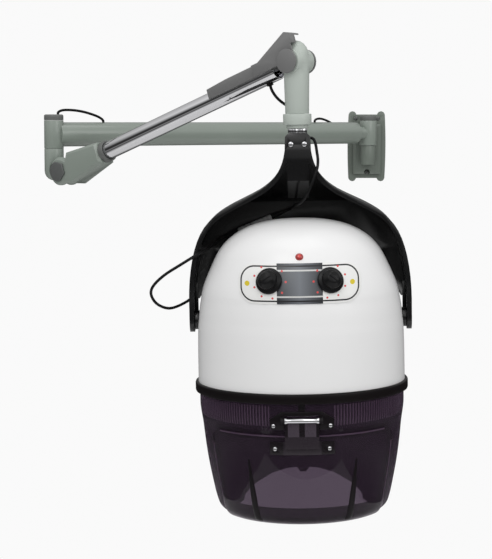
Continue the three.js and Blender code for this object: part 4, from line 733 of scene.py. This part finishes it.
def softened(node, material, width, angle=32, segments=2, name=None):
    """A copy of a solid with trimmed corners and rounded edges, which stands for it."""
    shape = bmesh.new()
    shape.from_mesh(nodes[node].data)
    bmesh.ops.remove_doubles(shape, verts=shape.verts, dist=2e-6)
    for point, normal in TRIMS.get(node, ()):
        bmesh.ops.bisect_plane(shape, geom=[*shape.verts, *shape.edges, *shape.faces], dist=1e-7,
                               plane_co=from_tilt(*point), plane_no=HOOD_TURN @ Vector(normal), clear_outer=True)
        bmesh.ops.holes_fill(shape, edges=[e for e in shape.edges if e.is_boundary], sides=0)
    bmesh.ops.dissolve_limit(shape, angle_limit=math.radians(0.15), verts=shape.verts, edges=shape.edges)
    sharp = [e for e in shape.edges
             if len(e.link_faces) == 2 and e.is_convex and e.calc_face_angle(0) > math.radians(angle)]
    bmesh.ops.bevel(shape, geom=sharp, offset=width, offset_type="OFFSET", affect="EDGES", segments=segments,
                    profile=0.5, material=-1, clamp_overlap=True)
    body = nodes[node]["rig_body"]
    return piece_of(shape, name or node + "_cast", body, material, (node,), recalc=False, angle=40)


CASTINGS = [
    ("wall_plate", plate_shaded_paint, "arm_paint", 1.2), ("wall_barrel", arm_paint, "arm_paint", 1.0),
    ("primary_tube", arm_paint, "tube_paint", 0.4), ("elbow_sleeve", arm_paint, "arm_paint", 0.8),
    ("elbow_cap", cap_grey, "grey_plastic", 1.0), ("wall_cap", cap_grey, "grey_plastic", 1.0),
    ("elbow_knuckle", arm_paint, "arm_paint", 0.8),
    ("arm_socket", arm_paint, "arm_paint", 1.5), ("elbow_pivot_cap", pivot_grey, "grey_plastic", 0.6),
    ("socket_collar", cap_grey, "grey_plastic", 1.0), ("arm_fork", dark_casting, "grey_casting", 0.9),
    ("head_cap_front", dark_casting, "grey_plastic", 0.9), ("head_cap_rear", dark_casting, "grey_plastic", 0.9),
    ("head_knuckle", knuckle_lit_paint, "arm_paint", 0.6), ("knuckle_collar", knuckle_lit_paint, "arm_paint", 0.9),
    ("yoke", yoke_black, "black_plastic", 1.6), ("swivel_stub", chrome, "chrome", 0.3),
    ("tilt_hub_left", yoke_black, "black_plastic", 0.8), ("tilt_hub_right", yoke_black, "black_plastic", 0.8),
    ("chrome_tube", chrome, "chrome", 0.3), ("hinge_plate", hinge_black, "black_plastic", 0.4),
    ("flap_leaf", leaf_smoke, "black_plastic", 0.4),
    ("inner_bowl", bowl_metal, "bowl", 0.5), ("supply_gland", band_black, "black_plastic", 0.4),
    ("hood_gland", band_black, "black_plastic", 0.4), ("cord_grommet", band_black, "cord", 0.3),
    ("elbow_pin", steel, "steel", 0.5),
]
for node, material, slot, width in CASTINGS:
    softened(node, material, width * MM)

HIDDEN = ["hinge_pin", "elbow_shaft", "head_pin", "balance_spring", "fan_motor", "heater_ring", "fan_impeller"]
for node in HIDDEN:
    nodes[node].data.materials.clear()
    nodes[node].data.materials.append(steel)
print("castings:", len(CASTINGS))

# %% [markdown]
# ## Small blocks and the hinge barrel
# Two thin liners close the slits between the yoke's arms and the dome, and a short strip joins the band to the hinge.
# The hinge's chrome barrel is half an outline, mirrored and spun.


# %% Blocks and barrel
def small_block(name, body, material, low, high):
    """A block between two corners in the hood's axes, with rounded edges."""
    low, high = Vector(low) * MM, Vector(high) * MM
    shape = bmesh.new()
    bmesh.ops.create_cube(shape, size=1)
    bmesh.ops.scale(shape, vec=high - low, verts=shape.verts)
    bmesh.ops.translate(shape, vec=(low + high) / 2, verts=shape.verts)
    bmesh.ops.bevel(shape, geom=shape.edges[:], offset=0.4 * MM, offset_type="OFFSET", affect="EDGES", segments=2,
                    profile=0.5, material=-1)
    bmesh.ops.transform(shape, matrix=HOOD, verts=shape.verts)
    return piece_of(shape, name, body, material)


small_block("strap_liner_left", "yoke_assembly", yoke_black, (-175.6, 17, -8), (-169.8, 21, 58))
small_block("strap_liner_right", "yoke_assembly", yoke_black, (169.8, 17, -8), (175.6, 21, 58))
small_block("hinge_strip", "hood", hinge_black, (-5.3, -170.2, -127), (5.3, -168.2, -116.4))
BARREL_HALF_LINE = [(4.0, 22.5), (5.1, 24), (5.1, 26.8), (0, 27)]
barrel_line = [*((r, -z) for r, z in reversed(BARREL_HALF_LINE)), *BARREL_HALF_LINE]
barrel = bmesh.new()
spun(barrel, barrel_line, 32)
turned_to(barrel, joints["flap_lift"]["pos_m"], HOOD_RIGHT)
piece_of(barrel, "chrome_barrel", "flap", chrome, ("flap_barrel",))
print("hinge barrel:", len(barrel_line), "points")

# %% [markdown]
# ## Hood shell and band
# The shell is a deep drawn dome: flat on top, round at the shoulder and nearly straight below a soft crease. It is
# one outline spun about the upright axis, with an inner wall so that the rim has its thickness. Its shoulders are
# pressed in a little at the sides, which leaves room for the yoke when the hood tilts.

# %% Shell and band
SHELL = [(0, 166), (40, 164), (80, 155), (112, 138), (133, 117), (149, 86), (160, 56), (167, 22), (170, -20),
         (171, -104)]
SHELL_WALL = 3
CREASE_Z = 42
CREASE_STEP = 0.7
DENT, DENT_Z, DENT_REACH = 1.6, 105, 45
BAND = [(171.3, -100), (173.5, -99.6), (175.3, -100.6), (176, -102.5), (176, -113.5), (175.3, -115.4), (173.5, -116),
        (171.3, -116), (171.3, -108.3), (156, -108.3), (156, -104.3), (171.3, -104.3)]
shell_line = [(p.x, p.y) for p in flowing([Vector((r, z)) for r, z in SHELL], 6)]
shell_line = [(max(r, 0), z) if i else (0, z) for i, (r, z) in enumerate(shell_line)]
shell_line = [(r - CREASE_STEP if z < CREASE_Z and r < 169 else r, z) for r, z in shell_line]
rim_radius = SHELL[-1][0]
inner_line = [(max(r - SHELL_WALL, 0), z - SHELL_WALL * (1 - r / rim_radius)) for r, z in reversed(shell_line)]
dome = bmesh.new()
spun(dome, [*shell_line, *inner_line], 128)
for vert in dome.verts:
    lift = ((vert.co.z / MM - DENT_Z) / DENT_REACH) ** 2
    across = Vector((vert.co.x, vert.co.y, 0))
    if lift < 1 and across.length > 0:
        vert.co -= across * (DENT * MM * (1 - lift) * abs(vert.co.x / across.length) ** 4 / across.length)
bmesh.ops.transform(dome, matrix=HOOD, verts=dome.verts)
piece_of(dome, "dome_shell", "hood", shell_white, ("hood_shell",))
band = bmesh.new()
spun(band, BAND, 128)
bmesh.ops.transform(band, matrix=HOOD, verts=band.verts)
piece_of(band, "shell_band", "hood", band_black, ("hood_band",))
print("shell outline:", len(shell_line), "points")

# %% [markdown]
# ## Visor and flap
# The visor is a smoked clear skirt with a fluted upper part, a window in front and an arch for the neck behind.
# It starts as a spun sheet. Planes cut the outlines of the openings into it, the faces inside them are deleted,
# and the sheet gets its wall.

# %% Visor
VISOR = [(168.5, -109), (168.5, -140), (164.5, -168), (161, -200), (156.5, -232), (149.5, -269), (143.5, -295),
         (138.5, -307), (129, -313.5), (108, -314)]
VISOR_WALL = 2.5
FLUTE_DEPTH = 0.8
FLUTE_STEPS = 4
WINDOW_ANGLE, WINDOW_TOP, WINDOW_LOW = 57, -174, -288
NECK = [(0, -288.5), (5, -288.5), (11, -280.5), (29, -282), (56, -288.5), (83, -301), (100, -313), (106, -320)]
visor_line = [(p.x, p.y) for p in flowing([Vector((r, z)) for r, z in VISOR], 4)]


def spun_sheet(profile, steps):
    shape = bmesh.new()
    verts = [shape.verts.new((r * MM, 0, z * MM)) for r, z in profile]
    edges = [shape.edges.new(pair) for pair in zip(verts, verts[1:])]
    bmesh.ops.spin(shape, geom=verts + edges, cent=(0, 0, 0), axis=(0, 0, 1), angle=2 * math.pi, steps=steps,
                   use_merge=True)
    bmesh.ops.remove_doubles(shape, verts=shape.verts, dist=1e-7)
    bmesh.ops.recalc_face_normals(shape, faces=shape.faces)
    return shape


def cut(shape, point, normal, clear=False, behind=False):
    """Cuts a shape by a plane, or only its half behind the upright axis."""
    faces = [f for f in shape.faces if not behind or f.calc_center_median().y > 0]
    edges = {e for f in faces for e in f.edges}
    verts = {v for f in faces for v in f.verts}
    bmesh.ops.bisect_plane(shape, geom=[*verts, *edges, *faces], dist=1e-7, plane_co=Vector(point) * MM,
                           plane_no=normal, clear_outer=clear)


def sector_normals(half_angle):
    turn = math.radians(half_angle)
    return [Vector((side * math.cos(turn), math.sin(turn), 0)) for side in (1, -1)]


def walled(shape, thickness):
    """Gives a sheet its wall on the inside."""
    bmesh.ops.solidify(shape, geom=shape.faces[:], thickness=thickness * MM)


def in_sector(point, half_angle):
    return abs(math.atan2(point.x, -point.y)) < math.radians(half_angle)


def in_neck(point):
    x, z = abs(point.x) / MM, point.z / MM
    for (x0, z0), (x1, z1) in zip(NECK, NECK[1:]):
        if x <= x1:
            return point.y > 0 and z < z0 + (z1 - z0) * (x - x0) / (x1 - x0)
    return False


visor_shape = spun_sheet(visor_line, FLUTE_STEPS * FLUTES)
for vert in visor_shape.verts:
    height = vert.co.z / MM
    turn = math.atan2(vert.co.x, -vert.co.y)
    if FLUTE_LOW < height < FLUTE_HIGH and abs(turn) > math.radians(FLUTES_FROM):
        ease = min(1.0, (height - FLUTE_LOW) / 8, (FLUTE_HIGH - height) / 5)
        side = Vector((vert.co.x, vert.co.y, 0)).normalized()
        vert.co -= side * FLUTE_DEPTH * MM * ease * (0.5 + 0.5 * math.cos(FLUTES * turn))
for level in (WINDOW_TOP, WINDOW_LOW):
    cut(visor_shape, (0, 0, level), (0, 0, 1))
for normal in sector_normals(WINDOW_ANGLE):
    cut(visor_shape, (0, 0, 0), normal)
for side in (1, -1):
    for (x0, z0), (x1, z1) in zip(NECK, NECK[1:]):
        cut(visor_shape, (side * x0, 0, z0), Vector((side * (z0 - z1), 0, x1 - x0)), behind=True)
    cut(visor_shape, (side * NECK[-1][0], 0, 0), (1, 0, 0), behind=True)
middles = {f: f.calc_center_median() for f in visor_shape.faces}
opened = [f for f, middle in middles.items()
          if (WINDOW_LOW * MM < middle.z < WINDOW_TOP * MM and in_sector(middle, WINDOW_ANGLE)) or in_neck(middle)]
bmesh.ops.delete(visor_shape, geom=opened, context="FACES")
walled(visor_shape, VISOR_WALL)
bmesh.ops.transform(visor_shape, matrix=HOOD, verts=visor_shape.verts)
piece_of(visor_shape, "smoked_visor", "hood", visor_smoke, ("visor",), recalc=False)

# %% [markdown]
# The flap is a second sheet just outside the visor. Its upper corners are rounded by moving the edge points down
# near the corners, and two tapered ribs stand on it.

# %% Flap
FLAP_OUT, FLAP_WALL, FLAP_LOW = 3.1, 2.2, -316.5
RIB_AZIMUTH, RIB_TOP, RIB_LOW = 31.5, -206, -312
RIB_PROUD = 2.0
RIB_FOOT = 0.2 * MM


def outward(line, distance):
    grown = []
    for i, (r, z) in enumerate(line):
        (r0, z0), (r1, z1) = line[max(i - 1, 0)], line[min(i + 1, len(line) - 1)]
        length = math.hypot(r1 - r0, z1 - z0)
        grown.append((r - (z1 - z0) / length * distance, z + (r1 - r0) / length * distance))
    return grown


flap_line = [(r, max(z, FLAP_LOW)) for r, z in outward(visor_line, FLAP_OUT)]
flap_shape = spun_sheet(flap_line, 180)
cut(flap_shape, (0, 0, FLAP_TOP), (0, 0, 1), clear=True)
for normal in sector_normals(FLAP_ANGLE):
    cut(flap_shape, (0, 0, 0), normal, clear=True)
for vert in flap_shape.verts:
    drop = FLAP_TOP - vert.co.z / MM
    turn = math.atan2(vert.co.x, -vert.co.y)
    inset = (math.radians(FLAP_ANGLE) - abs(turn)) * math.hypot(vert.co.x, vert.co.y) / MM
    reach = FLAP_CORNER - inset
    if reach > 0 and drop < FLAP_CORNER:
        sink = FLAP_CORNER - math.sqrt(max(FLAP_CORNER**2 - reach**2, 0))
        vert.co.z = (FLAP_TOP - (sink + drop * (FLAP_CORNER - sink) / FLAP_CORNER)) * MM
walled(flap_shape, FLAP_WALL)
bmesh.ops.transform(flap_shape, matrix=HOOD, verts=flap_shape.verts)
piece_of(flap_shape, "smoked_flap", "flap", flap_smoke, ("visor_flap",), recalc=False)

rib_line = [(r, z) for r, z in flap_line if RIB_LOW < z < RIB_TOP]
for side, name in ((-1, "flap_rib_left"), (1, "flap_rib_right")):
    rib = bmesh.new()
    rows = []
    for i, (r, z) in enumerate(rib_line):
        share = i / (len(rib_line) - 1)
        turn = math.radians(side * (RIB_AZIMUTH - share))
        half = (1.0 + 4.0 * min(1, 2.5 * share) + share) * MM
        out = Vector((math.sin(turn), -math.cos(turn), 0))
        across = Vector((math.cos(turn), math.sin(turn), 0))
        base = out * r * MM + UP * z * MM
        proud = RIB_PROUD * min(1, 3 * share) * MM + 1.5 * RIB_FOOT
        section = ((-1, RIB_FOOT), (1, RIB_FOOT), (0.6, proud), (-0.6, proud))
        rows.append([rib.verts.new(base + across * s * half + out * h) for s, h in section])
    for low, high in zip(rows, rows[1:]):
        for k in range(4):
            rib.faces.new((low[k], low[(k + 1) % 4], high[(k + 1) % 4], high[k]))
    rib.faces.new(rows[0])
    rib.faces.new(rows[-1])
    bmesh.ops.transform(rib, matrix=HOOD, verts=rib.verts)
    piece_of(rib, name, "flap", hinge_black)

# %% [markdown]
# ## Control plaque
# A printed plaque follows the dome behind the knobs. Its print is drawn by the material: a plain border, a dark
# field with a painted reflection that is lighter towards its middle, and round marks that are spaced about each knob's
# axis.

# %% Plaque
PLAQUE_HALF, PLAQUE_TOP, PLAQUE_LOW, PLAQUE_CORNER = 97, 103, 41, 26
KNOB_X, KNOB_Z = 47.3, 75
MARKS, MARK_RING, MARK_SIZE = 9, 25.5, 1.7
BORDER_OUT, BORDER_IN = 3.2, 5.5
BORDER_MIDDLE = 4.5 * MM
MIDDLE_HALF = 36
BAR_HEIGHT, BAR_HALF = 20, 1.2
PIP_PLACE, PIP_SIZE = 83, 4


def plaque_print():
    finish = Finish("plaque_print")
    x, _, height = hood_axes(finish)
    across, z = abs(x), height - (PLAQUE_TOP + PLAQUE_LOW) / 2 * MM
    half_height = (PLAQUE_TOP - PLAQUE_LOW) / 2 * MM
    corner = PLAQUE_CORNER * MM
    dx = (across - (PLAQUE_HALF * MM - corner)).largest(0.0)
    dz = (abs(z) - (half_height - corner)).largest(0.0)
    inside = corner - (dx * dx + dz * dz).root()
    border = inside.below(BORDER_IN * MM) - inside.below(BORDER_OUT * MM)
    middle = across.below(MIDDLE_HALF * MM)
    kx = across - KNOB_X * MM
    kz = z - (KNOB_Z - (PLAQUE_TOP + PLAQUE_LOW) / 2) * MM
    ring = (kx * kx + kz * kz).root()
    angle = kz.math("ARCTAN2", kx) * (MARKS / (2 * math.pi))
    cell = (angle.math("FRACT") - 0.5) * (2 * math.pi / MARKS * MARK_RING * MM)
    off = ring - MARK_RING * MM
    dot = (cell * cell + off * off).root().below(MARK_SIZE * MM) * (BORDER_MIDDLE - inside).below(0.0)
    pip_x = across - PIP_PLACE * MM
    pip = (pip_x * pip_x + z * z).root().below(PIP_SIZE * MM)
    bar = middle * near(abs(z), BAR_HEIGHT * MM, BAR_HALF * MM)
    # Painted reflection: the dark field is lighter towards its middle.
    painted_reflection = (1.0 - across / (MIDDLE_HALF * MM)).largest(0.0)
    speck = finish.noise(500.0)
    slate = finish.between(painted_reflection, linear(44, 46, 50), linear(112, 116, 122))
    field = finish.between(middle, linear(238, 238, 236), slate)
    field = finish.between(border, field, linear(38, 38, 40))
    field = finish.between(bar, field, linear(206, 206, 204))
    field = finish.between(dot, field, linear(214, 70, 68))
    field = finish.between(pip, field, linear(218, 196, 34))
    finish.set(Base_Color=field, Roughness=speck * 0.1 + 0.25)
    return finish.material


softened("control_panel", plaque_print(), 0.25 * MM)

# %% [markdown]
# ## Knobs, pilot lens and screws
# The knobs are black mouldings with a round skirt, a ribbed crown and a raised grip. The screws are pan heads with
# a slot: the top faces of the slot are extruded down.


# %% Knobs
KNOB_LIFT = 2.4


def pointer_knob(name, node, joint, roll):
    shape = bmesh.new()
    outline = [(0, 19.2), (8, 19), (10, 17.8), (10.8, 15.5), (14.4, 13), (15.4, 10.5), (15.8, 6.5), (17.5, 5.2),
               (20, 4.6), (21, 3.4), (21, 0), (3, 0), (3, -14), (0, -14)]
    spun(shape, outline, 72)
    for vert in shape.verts:
        radius = math.hypot(vert.co.x, vert.co.y)
        if 6 * MM < vert.co.z < 16 * MM and radius > 14 * MM:
            ridge = 0.35 * MM * math.cos(36 * math.atan2(vert.co.y, vert.co.x))
            vert.co += Vector((vert.co.x, vert.co.y, 0)).normalized() * ridge
    grip = bmesh.ops.create_cube(shape, size=1)["verts"]
    bmesh.ops.scale(shape, vec=Vector((17, 4.5, 3)) * MM, verts=grip)
    bmesh.ops.translate(shape, vec=Vector((0, 0, 19.2)) * MM, verts=grip)
    edges = list({e for v in grip for e in v.link_edges})
    bmesh.ops.bevel(shape, geom=edges, offset=1.4 * MM, offset_type="OFFSET", affect="EDGES", segments=3, profile=0.5,
                    material=-1)
    axis = Vector(joints[joint]["axis"])
    turned_to(shape, Vector(joints[joint]["pos_m"]) + axis * KNOB_LIFT * MM, axis, roll)
    return piece_of(shape, name, nodes[node]["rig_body"], knob_black, (node,))


pointer_knob("timer_dial", "timer_knob", "timer_turn", math.radians(35))
pointer_knob("heat_dial", "heat_knob", "heat_turn", math.radians(-40))
for name in ("timer_turn", "heat_turn"):
    print(name, "at", [round(c, 3) for c in joints[name]["pos_m"]])


# %% Lens
def top_along(node, direction):
    return max(v.co.dot(direction) for v in nodes[node].data.vertices)


LENS_SLOPE = math.radians(30)
LENS = [(0, 4.2), (2.2, 4.0), (4.4, 3.3), (5.6, 1.9), (5.9, 0.6), (6.4, 0.5), (6.4, 0), (4, 0), (4, -5), (0, -5)]
lens_out = HOOD_TURN @ Vector((0, -math.cos(LENS_SLOPE), math.sin(LENS_SLOPE)))
lens_shape = bmesh.new()
spun(lens_shape, LENS, 40)
lens_top = top_along("pilot_lens", lens_out)
lens_axis = middle_of("pilot_lens")
turned_to(lens_shape, lens_axis + lens_out * (lens_top - lens_axis.dot(lens_out) - LENS[0][1] * MM), lens_out)
piece_of(lens_shape, "pilot_dome", "hood", lens_red, ("pilot_lens",))
print("lens at", [round(c, 3) for c in lens_axis])


# %% Screws
def slotted_screw(node, direction, radius, height, shank, length, turn, finish=screw_plate):
    """A pan head with a slot, at the top of the node's own head."""
    shape = bmesh.new()
    spun(shape, [(0, height), (radius * 0.55, height * 0.94), (radius * 0.85, height * 0.66), (radius, height * 0.25),
                 (radius, 0), (shank, 0), (shank, -length), (0, -length)], 32)
    half = radius * 0.13
    for side in (-1, 1):
        cut(shape, (side * half, 0, 0), (1, 0, 0))
    slot_faces = [f for f in shape.faces if f.normal.z > 0.2 and abs(f.calc_center_median().x) < half * MM]
    sunk = bmesh.ops.extrude_face_region(shape, geom=slot_faces)["geom"]
    bmesh.ops.delete(shape, geom=slot_faces, context="FACES_ONLY")
    floor_verts = [g for g in sunk if isinstance(g, bmesh.types.BMVert)]
    bmesh.ops.translate(shape, vec=(0, 0, -0.45 * height * MM), verts=floor_verts)
    place = middle_of(node)
    place += direction * (top_along(node, direction) - place.dot(direction) - height * MM)
    turned_to(shape, place, direction, turn)
    piece_of(shape, node + "_slotted", nodes[node]["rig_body"], finish, (node,), recalc=False)


# Painted shade: the wall screws take the caps' dull grey instead of plated metal, for the dark recesses they sit in.
for i, node in enumerate(("wall_screw_left", "wall_screw_right", "wall_screw_low")):
    slotted_screw(node, FRONT, 4.6, 2.6, 2.4, 9, 0.5 + i, cap_grey)
for i, node in enumerate(("yoke_screw_left", "yoke_screw_right")):
    slotted_screw(node, HOOD_TURN @ FRONT, 4.6, 2.6, 2.2, 10, 0.9 + 1.1 * i)
for i, node in enumerate(("hinge_screw_left", "hinge_screw_right", "flap_screw_left", "flap_screw_right")):
    middle = middle_of(node)
    radial = Vector((middle.x - TILT.x, middle.y - TILT.y, 0)).normalized()
    slotted_screw(node, radial, 3.4, 2.0, 1.6, 5, 0.4 + 0.8 * i)

# %% [markdown]
# ## Sizes and the end
# The box around the dressed part, without the floor, is measured.

# %% Finish
low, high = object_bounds()
